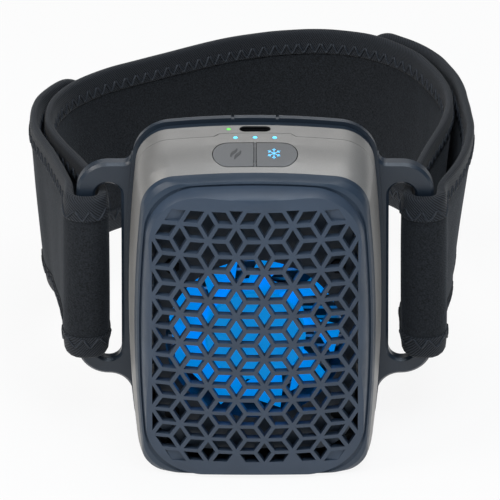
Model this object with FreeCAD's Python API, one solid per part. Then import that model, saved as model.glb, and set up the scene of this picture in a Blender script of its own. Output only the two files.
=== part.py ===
import FreeCAD, Part
import os
from math import asin, ceil, cos, pi, radians, sin, sqrt, tan

from FreeCAD import Vector

# A hot and cold therapy unit that is worn on a limb: a fan-cooled thermoelectric pad in a
# hand-sized case, held in a strap cradle.  It stands upright on its flat foot.
# X is right, Y is back (towards the limb), Z is up; the origin is on the foot, millimetres.

# ---------------------------------------------------------------- what sets the size of the case
CELL_LENGTH = 65.0        # a cell lies across the case, over the fan
CELL_DIAMETER = 18.0
CELL_ROOM = 3.2           # from each end of the cell to the wall
CELL_GAP = 0.2            # from the fan to the cell
FAN_BORE = 53.0
FAN_RIM = 1.5             # of the fan frame round its bore
FAN_SIDE = FAN_BORE + 2 * FAN_RIM
FAN_RISE = 18.0           # from the foot of the case to the fan
BOARD_THICKNESS = 1.4
BOARD_GAP = 1.4           # from the cell to the board
KEY_ROOM = 9.3            # from the board to the top of the case
WALL = 1.8
BODY_WIDTH = CELL_LENGTH + 2 * (WALL + CELL_ROOM)
HALF_WIDTH = BODY_WIDTH / 2
FAN_Z = FAN_RISE + FAN_SIDE / 2
CELL_Z = FAN_Z + (FAN_SIDE + CELL_DIAMETER) / 2 + CELL_GAP
BOARD_Z = CELL_Z + CELL_DIAMETER / 2 + BOARD_GAP
BOARD_TOP = BOARD_Z + BOARD_THICKNESS
BODY_HEIGHT = BOARD_TOP + KEY_ROOM

# ---------------------------------------------------------------- case
SIDE_BOW = 430.0          # radius of the slightly bowed side walls
TOP_CROWN = 300.0         # radius of the slightly crowned top
CORNER_RADIUS = 11.0
FOOT_CORNER = 7.0         # the corners at the foot are tighter
TOP_ROLL = 22.0           # radius at which the top rolls down to the front
SIDE_ROLL = 54.0          # the same roll on the sides, much slower
ROLL_STRIPS = 4           # straight strips that make up the roll
CASE_FRONT = -13.5        # where the case ends and the dark bezel begins
CASE_BACK = 7.6
FLANGE_DEPTH = 1.2        # front flange of the case
SEAM_Y = 1.0              # parting line of the two case halves
SEAM_GAP = 0.16
TONGUE_WIDTH = 21.0       # the front half reaches back round the level lights
TONGUE_REACH = 1.7
TAIL_INSET = 2.2          # step down to the tail that the cradle slides over
TAIL_BACK = 14.5
STEP_DEPTH = 1.4

# ---------------------------------------------------------------- bezel and grille
BEZEL_CREST = -17.2       # the bezel rolls over to here and dips to its seat
BEZEL_SEAT = -16.8        # the dome sits here
BEZEL_ROLL = ((0.13, 0.47), (0.45, 0.86), (0.78, 1.0))  # shares of the way in and of the way forward
BEZEL_INSET = 0.9         # least width of the bezel, each side
BEZEL_DROP = 2.1          # its width at the top
BEZEL_WALL = 1.6
SPIGOT_CORNER = 14.0
SPIGOT_WALL = 1.3
SNUG = 0.15               # clearance of pieces that sit in each other
DOME_WIDTH = BODY_WIDTH - 7.4
DOME_TOP = BODY_HEIGHT - 7.1
DOME_BOTTOM = 0.5
DOME_CORNER = 17.0
DOME_APEX_Y = -26.5
DOME_APEX_Z = BODY_HEIGHT / 2 + 0.6
DOME_RADIUS_X = 122.0
DOME_RADIUS_Z = 205.0
DOME_THICKNESS = 2.2
DOME_EDGE_INSET = 4.4     # the edge of the dome rolls over this far in
DOME_EDGE_DEPTH = 5.9     # and this far forward
DOME_EDGE_TURN = 100.0
DOME_EDGE_STRIPS = 5
LATTICE_PITCH = 9.63      # height of one star of the tumbling-block lattice
STRUT = 1.2
BLOCK_TURN = 30.0         # the slanting blocks lie at this angle either way
STAR_Z = FAN_Z + 2.4      # height of one star in the odd columns
COLUMN_SHIFT = 1.0 / 3    # the lattice sits a third of a column off centre
WINDOW_MARGIN = 3.3       # from the dome's side to the openings
WINDOW_BOTTOM = DOME_BOTTOM + 5.7
WINDOW_TOP = DOME_TOP - 5.6
WINDOW_CORNER = 9.0
WINDOW_HALF_WIDTH = DOME_WIDTH / 2 - WINDOW_MARGIN
MIN_OPENING = 4.0         # smallest cut-off opening that is kept, in square millimetres
BLIND_DEPTH = 0.7         # the four corner blocks are only recessed
CORNER_COLUMNS = 2.5      # columns and rows from the lattice's middle to a corner block
CORNER_ROWS = 4.25

# ---------------------------------------------------------------- fan
TIP_GAP = 0.6
FAN_CORNER = 3.0
FAN_FRONT = -16.4
FAN_DEPTH = 12.0
HUB_DIAMETER = 30.0
HUB_WALL = 1.4
HUB_DEPTH = 8.6
BLADE_COUNT = 9
BLADE_THICKNESS = 1.3     # where the blade is thickest
BLADE_CAMBER = 0.09       # how far a blade bends, as a share of its chord
BLADE_PITCH_ROOT = 50.0   # blade angle from the fan plane, degrees
BLADE_PITCH_TIP = 28.0
BLADE_SWEEP = 20.0        # how far the tip leads the root, degrees
BLADE_SPAN = 8.0          # depth of a blade along the shaft
SHAFT_DIAMETER = 3.0
SHAFT_FIT = 0.05
BEARING_DIAMETER = 6.0
STATOR_DIAMETER = 21.0
MAGNET_WALL = 1.5
ROTOR_GAP = 0.5
FAN_BASE = 1.4
BASE_DIAMETER = 28.0
SPIDER_ARMS = 4
ARM_WIDTH = 3.2
SCREW_INSET = 3.4         # fan screws from the corners of the frame
BAFFLE_THICKNESS = 1.2
BAFFLE_MARGIN = 3.6       # from the dome's side to the baffle
BAFFLE_BOTTOM = 9.0
BAFFLE_TOP = WINDOW_TOP + 1.8
BAFFLE_CORNER = 12.0

# ---------------------------------------------------------------- heat path
SINK_GAP = 0.6            # from the fan to the fins
FIN_DEPTH = 9.8
FIN_THICKNESS = 0.9
FIN_PITCH = 3.2
FIN_COUNT = 17
SINK_BASE = 2.8
SINK_MARGIN = 5.7         # from the case's side to the heat sink
PAD = 0.3
MODULE_SIDE = 40.0
MODULE_THICKNESS = 3.6
CERAMIC = 0.8
PELLET = 1.6
PELLET_GRID = 5
PLATE_MARGIN = 8.5        # from the case's side to the plate
PLATE_BOTTOM = 14.5
PLATE_TOP = BODY_HEIGHT - 14.8
PLATE_CORNER = 11.0
PLATE_FACE = 2.5
PLATE_BACK = 19.5
PLATE_EDGE = 1.4
PLATE_FLANGE = 2.6        # how far the flange reaches past the window
FLANGE_THICKNESS = 1.3
GASKET = 0.3
PLATE_GAP = 0.3
BOSS_DIAMETER = 5.0
SINK_SCREW_RISE = 22.0
SENSOR_DIAMETER = 2.4
SENSOR_LENGTH = 5.0

# ---------------------------------------------------------------- power and board
CELL_Y = -3.0
HOLDER_WALL = 1.3
HOLDER_FIT = 0.3
BOARD_HALF_WIDTH = HALF_WIDTH - 12.0
BOARD_FRONT = -11.6
BOARD_BACK = 7.2
BOARD_CORNER = 1.4
CHIP = 7.0
USB_X = 0.0
USB_Y = 5.3
USB_WIDTH = 9.0
USB_HEIGHT = 3.2
USB_SLOT_MARGIN = 0.15
USB_SHELL = 0.35
USB_TONGUE = 0.7
USB_RECESS = 0.9          # the socket ends below the outside of the case
LIGHT_Y = 0.0
LIGHT_PITCH = 5.8
LIGHT_COUNT = 3
LIGHT_DIAMETER = 1.5
CHARGE_X = -7.8
CHARGE_Y = 5.3
LED_HEIGHT = 0.9

# ---------------------------------------------------------------- keys
KEY_TILT = 20.0           # the keys lean forward with the roll of the top
KEY_LENGTH = 25.4         # both keys together
KEY_BREADTH = 9.8
KEY_SPLIT = 0.8
KEY_GAP = 0.2
KEY_DEPTH = 3.5           # from the crest of the key to its flange
KEY_FLANGE = 0.8
KEY_FLANGE_REACH = 0.4
KEY_TRAVEL = 0.5
KEY_STEM = 2.6
SWITCH_HEIGHT = 2.4
SWITCH_SIDE = 5.0
SWITCH_CLEARANCE = 0.15   # left between stem and switch when the key is down

# ---------------------------------------------------------------- cradle and strap
CRADLE_FRONT = 8.0
CRADLE_NECK = 0.5         # the cradle starts this far below the case's outside
RIM_FRONT = 10.5          # its rim stands up here
RIM_BACK = 12.2
CRADLE_PROUD = 0.9        # how far the rim stands out past the case
CRADLE_BEND = 14.4        # behind the rim the cradle rolls down
CRADLE_BACK = 16.5
CRADLE_BEND_INSET = 0.2
CRADLE_BACK_INSET = 2.0
CRADLE_FIT = 0.3
CRADLE_LIP = 3.2          # inward lip at the back
CRADLE_LIP_THICKNESS = 1.7
TAB_HALF_WIDTH = 6.6
TAB_SLIT = 0.9
EAR_WIDTH = 15.5          # from the case's side to the end of an ear
EAR_TOP = BODY_HEIGHT - 15.9
EAR_BOTTOM = 17.4
EAR_CORNER = 9.5
EAR_THICKNESS = 3.5
EAR_TOP_BLEND = 2.6
EAR_FOOT_BLEND = 7.0
EAR_CHAMFER = 0.8
SLOT_MARGIN = 2.2         # from the case's side to the slot of an ear
BAR_WIDTH = 5.5           # the strap goes round the rest of the ear
SLOT_BOTTOM = EAR_BOTTOM + 5.0
SLOT_TOP = EAR_TOP - 6.8
STRAP_SIDE_ROOM = 2.3     # from the strap's edge to the end of the slot
STRAP_THICKNESS = 2.8
BINDING_WIDTH = 7.6
BINDING_PROUD = 0.25
STRAP_CLEARANCE = 0.5
HOOK_PAD_THICKNESS = 0.7
HOOK_PAD_CORNERS = 8      # how many corners of the strap's end the hook pad covers
BAR_BEND = 2.5            # the strap's middle line turns this tightly round the bar of an ear
TIGHT_TURN = 1.2          # radians; sharper turns are those round a bar
CHORD_TURN = 0.3          # radians of a turn that one flat of the strap takes
TURN_SHARE = 0.45         # how much of the shorter run a turn takes
LOOP_HALF_WIDTH = 62.0    # the loop that the strap makes behind the cradle
LOOP_DEPTH = 116.6
LOOP_SHAPE = (            # its corners, as shares of that half-width and depth
    (-0.82, 0.27), (-0.925, 0.38), (-0.995, 0.475), (-1.0, 0.575), (-0.92, 0.68), (-0.76, 0.765),
    (-0.465, 0.855), (-0.16, 0.943), (0.095, 0.988), (0.355, 1.0), (0.6, 0.96), (0.8, 0.862),
    (0.92, 0.72), (0.945, 0.592), (0.9, 0.467), (0.81, 0.322))
LEFT_END_SHAPE = ((-0.935, 0.26),)
RIGHT_END_SHAPE = ((0.97, 0.26), (1.025, 0.365), (1.04, 0.476))
LEFT_LAPPED = 4           # how many corners of the loop each end lies over
RIGHT_LAPPED = 4
LOOP_TAPER = 0.07         # its lower edge is this much narrower
TAPER_START = 22.0        # no taper at the ears, all of it from here on
TAPER_FULL = 48.0
LEFT_LAP = 0.35           # how far each end reaches along its last run
RIGHT_LAP = 0.15

# ---------------------------------------------------------------- screws
CASE_SCREW_MARGIN = 8.6   # from the case's sides and foot
CASE_SCREW_DROP = 8.9     # from the case's top
SLEEVE_DIAMETER = 6.0
CASE_SCREW_DIAMETER = 2.6
CASE_SCREW_LENGTH = 20.0
HEAD_DIAMETER = 4.6
HEAD_HEIGHT = 1.6
FAN_HEAD_HEIGHT = 0.8     # the fan's screws have flat heads
SCREW_FIT = 0.3
SCREW_SIDES = 8           # small fasteners and their bores are drawn plain
SEAT_SIDES = 16           # those that show from outside are rounder
SMALL_SCREW_DIAMETER = 2.4
FAN_SCREW_LENGTH = 17.0
SINK_SCREW_LENGTH = 5.2

# ---------------------------------------------------------------- places worked out from the sizes
FAN_BACK = FAN_FRONT + FAN_DEPTH
FIN_FRONT = FAN_BACK + SINK_GAP
SINK_BASE_FRONT = FIN_FRONT + FIN_DEPTH
SINK_BACK = SINK_BASE_FRONT + SINK_BASE
MODULE_FRONT = SINK_BACK + PAD
MODULE_BACK = MODULE_FRONT + MODULE_THICKNESS
PEDESTAL_FRONT = MODULE_BACK + PAD
TAIL_WALL_FRONT = TAIL_BACK - WALL
FLANGE_BACK = TAIL_WALL_FRONT - GASKET
FLANGE_FRONT = FLANGE_BACK - FLANGE_THICKNESS
SINK_HALF_WIDTH = HALF_WIDTH - SINK_MARGIN
SINK_HEIGHT = FAN_SIDE
PLATE_HALF_WIDTH = HALF_WIDTH - PLATE_MARGIN
SINK_SCREW_X = PLATE_HALF_WIDTH
FIN_HALF_WIDTH = SINK_SCREW_X - HEAD_DIAMETER / 2 - SCREW_FIT
CASE_SCREW_X = HALF_WIDTH - CASE_SCREW_MARGIN
EAR_REACH = HALF_WIDTH + EAR_WIDTH
SLOT_INNER = HALF_WIDTH + SLOT_MARGIN
SLOT_OUTER = EAR_REACH - BAR_WIDTH
EAR_FRONT = CRADLE_BACK - EAR_THICKNESS
STRAP_BOTTOM = SLOT_BOTTOM + STRAP_SIDE_ROOM
STRAP_TOP = SLOT_TOP - STRAP_SIDE_ROOM
KEY_ANGLE = radians(KEY_TILT)
KEY_NORMAL = Vector(0, -sin(KEY_ANGLE), cos(KEY_ANGLE))
KEY_CREST = Vector(0, -TOP_ROLL * sin(KEY_ANGLE), BODY_HEIGHT - TOP_ROLL * (1 - cos(KEY_ANGLE)))
SWITCH_STOP = BOARD_TOP + SWITCH_HEIGHT + KEY_TRAVEL * KEY_NORMAL.z + SWITCH_CLEARANCE
COLUMN = LATTICE_PITCH * sqrt(3) / 2
SAFE = 1.0                # overshoot of a cutting tool


# ---------------------------------------------------------------- helpers
def save(name, shape):
    shape.exportStep("parts/" + name + ".step")


def box(x0, x1, y0, y1, z0, z1):
    return Part.makeBox(x1 - x0, y1 - y0, z1 - z0, Vector(x0, y0, z0))


def rod(diameter, y0, y1, x, z):
    """Cylinder along Y."""
    return Part.makeCylinder(diameter / 2, y1 - y0, Vector(x, y0, z), Vector(0, 1, 0))


def edges_along(shape, direction):
    """Straight edges of a shape that run along a direction."""
    found = []
    for edge in shape.Edges:
        if len(edge.Vertexes) == 2:
            run = edge.Vertexes[1].Point - edge.Vertexes[0].Point
            if run.cross(direction).Length < 1e-6 * run.Length:
                found.append(edge)
    return found


def prism(wire, y0, y1):
    """Extrude a wire that lies in the plane y0 to the plane y1."""
    return Part.Face(wire).extrude(Vector(0, y1 - y0, 0))


def bow_drop(radius, reach):
    return radius - sqrt(radius ** 2 - reach ** 2)


def shield(y0, y1, half_width, bottom, top, corner, foot_corner):
    """Prism with bowed sides, crowned top, flat foot and rounded corners: the case's outline."""
    middle = (bottom + top) / 2
    side = half_width - bow_drop(SIDE_BOW, (top - bottom) / 2)
    shoulder = top - bow_drop(TOP_CROWN, half_width)
    foot_left, foot_right = Vector(-side, y0, bottom), Vector(side, y0, bottom)
    left, right = Vector(-side, y0, shoulder), Vector(side, y0, shoulder)
    edges = [
        Part.LineSegment(foot_left, foot_right).toShape(),
        Part.Arc(foot_right, Vector(half_width, y0, middle), right).toShape(),
        Part.Arc(right, Vector(0, y0, top), left).toShape(),
        Part.Arc(left, Vector(-half_width, y0, middle), foot_left).toShape(),
    ]
    block = prism(Part.Wire(edges), y0, y1)
    for radius, upper in ((corner, True), (foot_corner, False)):
        rounded = [edge for edge in edges_along(block, Vector(0, 1, 0))
                   if (edge.CenterOfMass.z > middle) == upper]
        block = block.makeFillet(radius, rounded[:2])
    return block


def shield_wire(y, *sizes):
    """Outline of that prism in the plane y."""
    block = shield(y, y + SAFE, *sizes)
    front = min(block.Faces, key=lambda face: face.CenterOfMass.y)
    return front.OuterWire


def roll_drop(radius, y):
    return bow_drop(radius, min(y, 0))


def case_sizes(y, inset):
    """Half-width, foot, top and corner radii of the case at depth y, inset all round."""
    return (HALF_WIDTH - roll_drop(SIDE_ROLL, y) - inset, inset,
            BODY_HEIGHT - roll_drop(TOP_ROLL, y) - inset, CORNER_RADIUS - inset, FOOT_CORNER - inset)


def rolled_case(front, back, inset, strips):
    """Solid of the case: its roll as a few straight strips, then a prism."""
    full = asin(-front / TOP_ROLL)
    depths = [-TOP_ROLL * sin(full * (strips - strip) / strips) for strip in range(strips + 1)]
    roll = skin([(y, case_sizes(y, inset)) for y in depths])
    return roll.fuse(shield(0, back, *case_sizes(0, inset)))


def case_outside():
    return rolled_case(CASE_FRONT, CASE_BACK, 0, ROLL_STRIPS)


def case_cavity(inset):
    """Hollow of the case: one straight strip, so the wall is a little thicker in the roll."""
    return rolled_case(CASE_FRONT + FLANGE_DEPTH, CASE_BACK + SAFE, inset, 1)


def skin(stations):
    """Solid with straight strips between outlines, each a depth and the outline's sizes."""
    return Part.makeLoft([shield_wire(y, *sizes) for y, sizes in stations], True, True)


def side_x(z):
    """Half-width of the cradle's bowed side at a height."""
    return HALF_WIDTH + CRADLE_PROUD - bow_drop(SIDE_BOW, abs(z - BODY_HEIGHT / 2))


def mirror_x(shape):
    return shape.mirror(Vector(0, 0, 0), Vector(1, 0, 0))


def group(shapes):
    return Part.makeCompound(shapes)


def ring_points(radius, x, y, z, sides):
    """Corners of a regular polygon in a plane across Y."""
    turns = [2 * pi * (side + 0.5) / sides for side in range(sides)]
    return [Vector(x + radius * sin(turn), y, z + radius * cos(turn)) for turn in turns]


def peg(diameter, y0, y1, x, z, sides=SCREW_SIDES):
    """Plain many-sided rod along Y, for fasteners, bosses and bores."""
    corners = ring_points(diameter / 2, x, y0, z, sides)
    return prism(Part.makePolygon(corners + corners[:1]), y0, y1)


def screw(diameter, length, head_height, head_front, x, z, facing, sides=SCREW_SIDES):
    """Plain screw along Y; its head's outer face is at head_front and it points along facing."""
    head = peg(HEAD_DIAMETER, head_front, head_front + facing * head_height, x, z, sides)
    return head.fuse(peg(diameter, head_front, head_front + facing * length, x, z))


# ---------------------------------------------------------------- case halves
def seam_region(gap):
    """Everything in front of the parting line, with the tongue round the level lights."""
    reach = SEAM_Y + TONGUE_REACH - gap
    half = TONGUE_WIDTH / 2 - gap
    floor = BODY_HEIGHT - 4 * WALL
    points = [Vector(-half - TONGUE_REACH, CASE_FRONT, floor), Vector(half + TONGUE_REACH, CASE_FRONT, floor),
              Vector(half + TONGUE_REACH, SEAM_Y - gap, floor), Vector(half, reach, floor),
              Vector(-half, reach, floor), Vector(-half - TONGUE_REACH, SEAM_Y - gap, floor)]
    tongue = Part.Face(Part.makePolygon(points + points[:1])).extrude(Vector(0, 0, BODY_HEIGHT))
    front = box(-BODY_WIDTH, BODY_WIDTH, CASE_FRONT - BODY_WIDTH, SEAM_Y - gap, -SAFE, 2 * BODY_HEIGHT)
    return front.fuse(tongue)


def key_frame(shape):
    """Lean a shape, drawn about the Z axis at the origin, onto the crest of the keys."""
    placed = shape.copy()
    placed.rotate(Vector(0, 0, 0), Vector(1, 0, 0), KEY_TILT)
    placed.translate(KEY_CREST)
    return placed


def key_pill(grow, low, high):
    """Stadium of both keys, grown all round, between two heights over the crest."""
    radius = KEY_BREADTH / 2 + grow
    reach = (KEY_LENGTH - KEY_BREADTH) / 2
    block = Part.makeBox(2 * reach, 2 * radius, high - low, Vector(-reach, -radius, low))
    for x in (-reach, reach):
        block = block.fuse(Part.makeCylinder(radius, high - low, Vector(x, 0, low)))
    return key_frame(block.removeSplitter())


def level_light_places():
    first = -(LIGHT_COUNT - 1) / 2
    return [((first + index) * LIGHT_PITCH, LIGHT_Y) for index in range(LIGHT_COUNT)]


def light_holes():
    places = level_light_places() + [(CHARGE_X, CHARGE_Y)]
    floor = BODY_HEIGHT - 2 * WALL
    return [Part.makeCylinder(LIGHT_DIAMETER / 2, 4 * WALL, Vector(x, y, floor)) for x, y in places]


def slot_solid(width, height, low, high):
    """Rounded slot of the charging socket, along Z."""
    reach = (width - height) / 2
    block = box(USB_X - reach, USB_X + reach, USB_Y - height / 2, USB_Y + height / 2, low, high)
    for x in (-reach, reach):
        block = block.fuse(Part.makeCylinder(height / 2, high - low, Vector(USB_X + x, USB_Y, low)))
    return block.removeSplitter()


def case_screw_places():
    return [(side * CASE_SCREW_X, z) for side in (-1, 1)
            for z in (CASE_SCREW_MARGIN, BODY_HEIGHT - CASE_SCREW_DROP)]


def spigot_sizes(inset):
    half, foot, top, _, _ = case_sizes(CASE_FRONT, 0)
    total = BEZEL_INSET + BEZEL_WALL + SNUG + inset
    corner = SPIGOT_CORNER - SNUG - inset
    return (half - total, foot + BEZEL_WALL + BEZEL_INSET / 2 + SNUG + inset,
            top - BEZEL_DROP - BEZEL_WALL - SNUG - inset, corner, corner)


def make_front_shell(outside, blank):
    shell = blank.common(seam_region(SEAM_GAP / 2))
    spigot = shield(BEZEL_SEAT + SNUG, CASE_FRONT, *spigot_sizes(0))
    window = shield(BEZEL_CREST - SAFE, CASE_FRONT + FLANGE_DEPTH + SAFE, *spigot_sizes(SPIGOT_WALL))
    shell = shell.fuse(spigot).cut(window)
    for x, z in case_screw_places():
        boss = peg(SLEEVE_DIAMETER, CASE_FRONT + FLANGE_DEPTH / 2, SEAM_Y - SEAM_GAP / 2, x, z)
        bore = peg(CASE_SCREW_DIAMETER, CASE_FRONT + 2 * FLANGE_DEPTH, SEAM_Y + SAFE, x, z)
        shell = shell.fuse(boss.common(outside)).cut(bore)
    shell = shell.cut(key_pill(0, -4 * WALL, 4 * WALL))
    return shell.cut(group(light_holes()))


def make_rear_shell(blank):
    shell = blank.cut(seam_region(-SEAM_GAP / 2))
    step = shield(CASE_BACK - STEP_DEPTH, CASE_BACK, *case_sizes(0, WALL / 2))
    tail = shield(CASE_BACK - SAFE, TAIL_BACK, *case_sizes(0, TAIL_INSET))
    hollow = shield(CASE_BACK - STEP_DEPTH - SAFE, TAIL_WALL_FRONT, *case_sizes(0, TAIL_INSET + WALL))
    window = shield(TAIL_WALL_FRONT - SAFE, TAIL_BACK + SAFE, *plate_sizes(PLATE_GAP))
    shell = shell.fuse(step).fuse(tail).cut(hollow).cut(window)
    for x, z in case_screw_places():
        sleeve = peg(SLEEVE_DIAMETER, SEAM_Y + SEAM_GAP / 2, TAIL_BACK - WALL / 2, x, z)
        bore = peg(CASE_SCREW_DIAMETER + SCREW_FIT, SEAM_Y - SAFE, TAIL_BACK + SAFE, x, z)
        seat_front = TAIL_BACK - HEAD_HEIGHT - SNUG
        seat = peg(HEAD_DIAMETER + SCREW_FIT, seat_front, TAIL_BACK + SAFE, x, z, SEAT_SIDES)
        shell = shell.fuse(sleeve).cut(bore).cut(seat)
    slot = slot_solid(USB_WIDTH + 2 * USB_SLOT_MARGIN, USB_HEIGHT + 2 * USB_SLOT_MARGIN,
                      BODY_HEIGHT - 3 * WALL, BODY_HEIGHT + SAFE)
    return shell.cut(slot).cut(group(light_holes()))


# ---------------------------------------------------------------- bezel and grille
def dome_sizes(inset, corner):
    return (DOME_WIDTH / 2 - inset, DOME_BOTTOM + inset, DOME_TOP - inset, corner, corner)


def make_bezel():
    """Ring that rolls over from the front edge of the case into the groove round the dome."""
    outer = case_sizes(CASE_FRONT, 0)
    inner = dome_sizes(-SNUG, DOME_CORNER)
    stations = [(CASE_FRONT, outer)]
    for inward, forward in BEZEL_ROLL:
        sizes = [start + (end - start) * inward for start, end in zip(outer, inner)]
        stations.append((CASE_FRONT + (BEZEL_CREST - CASE_FRONT) * forward, sizes))
    stations.append((BEZEL_SEAT, inner))
    return skin(stations).cut(shield(BEZEL_CREST - SAFE, CASE_FRONT + SAFE, *spigot_sizes(-SNUG)))


def dome_y(x, z):
    """Depth of the dome's outside at a place."""
    return DOME_APEX_Y + x ** 2 / (2 * DOME_RADIUS_X) + (z - DOME_APEX_Z) ** 2 / (2 * DOME_RADIUS_Z)


def bow_poles(low, high, crest, radius):
    """Places and rises of the three poles of a shallow bow with its crest at a place."""
    middle = (low + high) / 2
    ends = [(place - crest) ** 2 / (2 * radius) for place in (low, high)]
    pole = (middle - crest) ** 2 / radius - sum(ends) / 2
    return [(low, ends[0]), (middle, pole), (high, ends[1])]


def dome_edge():
    """Solid whose sides roll over from the dome's outline to its front, deeper in the corners."""
    stations = []
    for strip in range(DOME_EDGE_STRIPS + 1):
        turn = radians(DOME_EDGE_TURN) * strip / DOME_EDGE_STRIPS
        inset = DOME_EDGE_INSET * (1 - cos(turn))
        depth = DOME_EDGE_DEPTH * strip / DOME_EDGE_STRIPS if turn > pi / 2 else DOME_EDGE_DEPTH * sin(turn)
        stations.append((BEZEL_SEAT - depth, dome_sizes(inset, DOME_CORNER + inset)))
    stations.append((2 * DOME_APEX_Y, stations[-1][1]))
    return skin(stations)


def dome_front(depth):
    """Everything behind the domed front, moved back by a depth."""
    reach = DOME_WIDTH / 2 + SAFE
    columns = bow_poles(-reach, reach, 0, DOME_RADIUS_X)
    rows = bow_poles(DOME_BOTTOM - SAFE, DOME_TOP + SAFE, DOME_APEX_Z, DOME_RADIUS_Z)
    patch = Part.BezierSurface()
    patch.increase(2, 2)
    for column, (x, bow_x) in enumerate(columns, 1):
        for row, (z, bow_z) in enumerate(rows, 1):
            patch.setPole(column, row, Vector(x, DOME_APEX_Y + depth + bow_x + bow_z, z))
    return patch.toShape().extrude(Vector(0, DOME_WIDTH, 0))


def blocks():
    """Centre and turn of every rhombic block of the lattice; a block's long diagonal is the pitch."""
    columns = int(DOME_WIDTH / COLUMN) + 2
    rows = int(DOME_TOP / LATTICE_PITCH) + 2
    places = []
    for index in range(-columns, columns + 1):
        x = (index + COLUMN_SHIFT) * COLUMN
        shift = 0 if index % 2 else LATTICE_PITCH / 2
        for row in range(-rows, rows + 1):
            z = STAR_Z + shift + row * LATTICE_PITCH
            for turn in (90, BLOCK_TURN, -BLOCK_TURN):
                angle = radians(turn)
                places.append((x + LATTICE_PITCH / 2 * cos(angle), z + LATTICE_PITCH / 2 * sin(angle), turn))
    return places


def corner_blocks():
    """The recessed blocks in the four corners of the window, two of them out of step with the lattice."""
    x = (CORNER_COLUMNS + COLUMN_SHIFT) * COLUMN
    rise = CORNER_ROWS * LATTICE_PITCH
    return [(side * x, STAR_Z + up * rise, -BLOCK_TURN * side * up) for side in (-1, 1) for up in (-1, 1)]


def edge_openings():
    """Wedges between the last stars on the right and the side of the window."""
    star = int(WINDOW_HALF_WIDTH / COLUMN - COLUMN_SHIFT)
    tip = (star + COLUMN_SHIFT) * COLUMN + STRUT / sqrt(3)
    reach = (WINDOW_HALF_WIDTH - tip) * sqrt(3)
    shift = 0 if star % 2 else LATTICE_PITCH / 2
    faces = []
    for row in range(-int(CORNER_ROWS) + 1, int(CORNER_ROWS)):
        z = STAR_Z + shift + row * LATTICE_PITCH
        corners = [Vector(tip, 0, z), Vector(WINDOW_HALF_WIDTH, 0, z + reach),
                   Vector(WINDOW_HALF_WIDTH, 0, z - reach)]
        faces.append(Part.Face(Part.makePolygon(corners + corners[:1])))
    return faces


def block_face(x, z, turn):
    """Opening of one block: the rhombus less half a strut all round."""
    long_half = LATTICE_PITCH / 2 - STRUT
    short_half = long_half / sqrt(3)
    along = Vector(cos(radians(turn)), 0, sin(radians(turn)))
    across = Vector(-along.z, 0, along.x)
    centre = Vector(x, 0, z)
    corners = [centre + along * long_half, centre + across * short_half,
               centre - along * long_half, centre - across * short_half]
    return Part.Face(Part.makePolygon(corners + corners[:1]))


def window_face():
    """Rounded rectangle that bounds the openings."""
    block = box(-WINDOW_HALF_WIDTH, WINDOW_HALF_WIDTH, 0, SAFE, WINDOW_BOTTOM, WINDOW_TOP)
    block = block.makeFillet(WINDOW_CORNER, edges_along(block, Vector(0, 1, 0)))
    return min(block.Faces, key=lambda face: face.CenterOfMass.y)


def make_grille():
    hollow = shield(2 * DOME_APEX_Y, BEZEL_SEAT + SAFE, *dome_sizes(BEZEL_WALL, DOME_CORNER - BEZEL_WALL))
    shell = dome_edge().common(dome_front(0)).cut(hollow.common(dome_front(DOME_THICKNESS)))
    window = window_face()
    corners = corner_blocks()
    openings = edge_openings()
    for x, z, turn in blocks():
        near_x = WINDOW_HALF_WIDTH - abs(x)
        near_z = min(z - WINDOW_BOTTOM, WINDOW_TOP - z)
        if min(near_x, near_z) < -LATTICE_PITCH / 2:
            continue
        away = min(sqrt((x - corner[0]) ** 2 + (z - corner[1]) ** 2) for corner in corners)
        if away < LATTICE_PITCH / 2 - SNUG:
            continue
        face = block_face(x, z, turn)
        whole = face.Area
        if min(near_x, near_z) < WINDOW_CORNER / 2:
            face = face.common(window)
        cut_off = face.Area < whole - SNUG
        if face.Area < MIN_OPENING or (cut_off and max(near_x, near_z) < LATTICE_PITCH):
            continue
        openings.append(face)
    cutters = []
    for face in openings:
        face.translate(Vector(0, 2 * DOME_APEX_Y, 0))
        cutters.append(face.extrude(Vector(0, -2 * DOME_APEX_Y, 0)))
    for x, z, turn in corners:
        face = block_face(x, z, turn)
        face.translate(Vector(0, 2 * DOME_APEX_Y, 0))
        cutters.append(face.extrude(Vector(0, dome_y(x, z) + BLIND_DEPTH - 2 * DOME_APEX_Y, 0)))
    return shell.cut(group(cutters))


# ---------------------------------------------------------------- fan
def fan_screw_places():
    reach = FAN_SIDE / 2 - SCREW_INSET
    return [(x * reach, FAN_Z + z * reach) for x in (-1, 1) for z in (-1, 1)]


def make_baffle():
    plate = shield(FAN_FRONT - BAFFLE_THICKNESS, FAN_FRONT, DOME_WIDTH / 2 - BAFFLE_MARGIN, BAFFLE_BOTTOM,
                   BAFFLE_TOP, BAFFLE_CORNER, BAFFLE_CORNER)
    plate = plate.cut(rod(FAN_BORE, FAN_FRONT - 2 * BAFFLE_THICKNESS, FAN_BACK, 0, FAN_Z))
    holes = [peg(SMALL_SCREW_DIAMETER + SCREW_FIT, FAN_FRONT - 2 * BAFFLE_THICKNESS, FAN_BACK, x, z)
             for x, z in fan_screw_places()]
    return plate.cut(group(holes))


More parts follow.
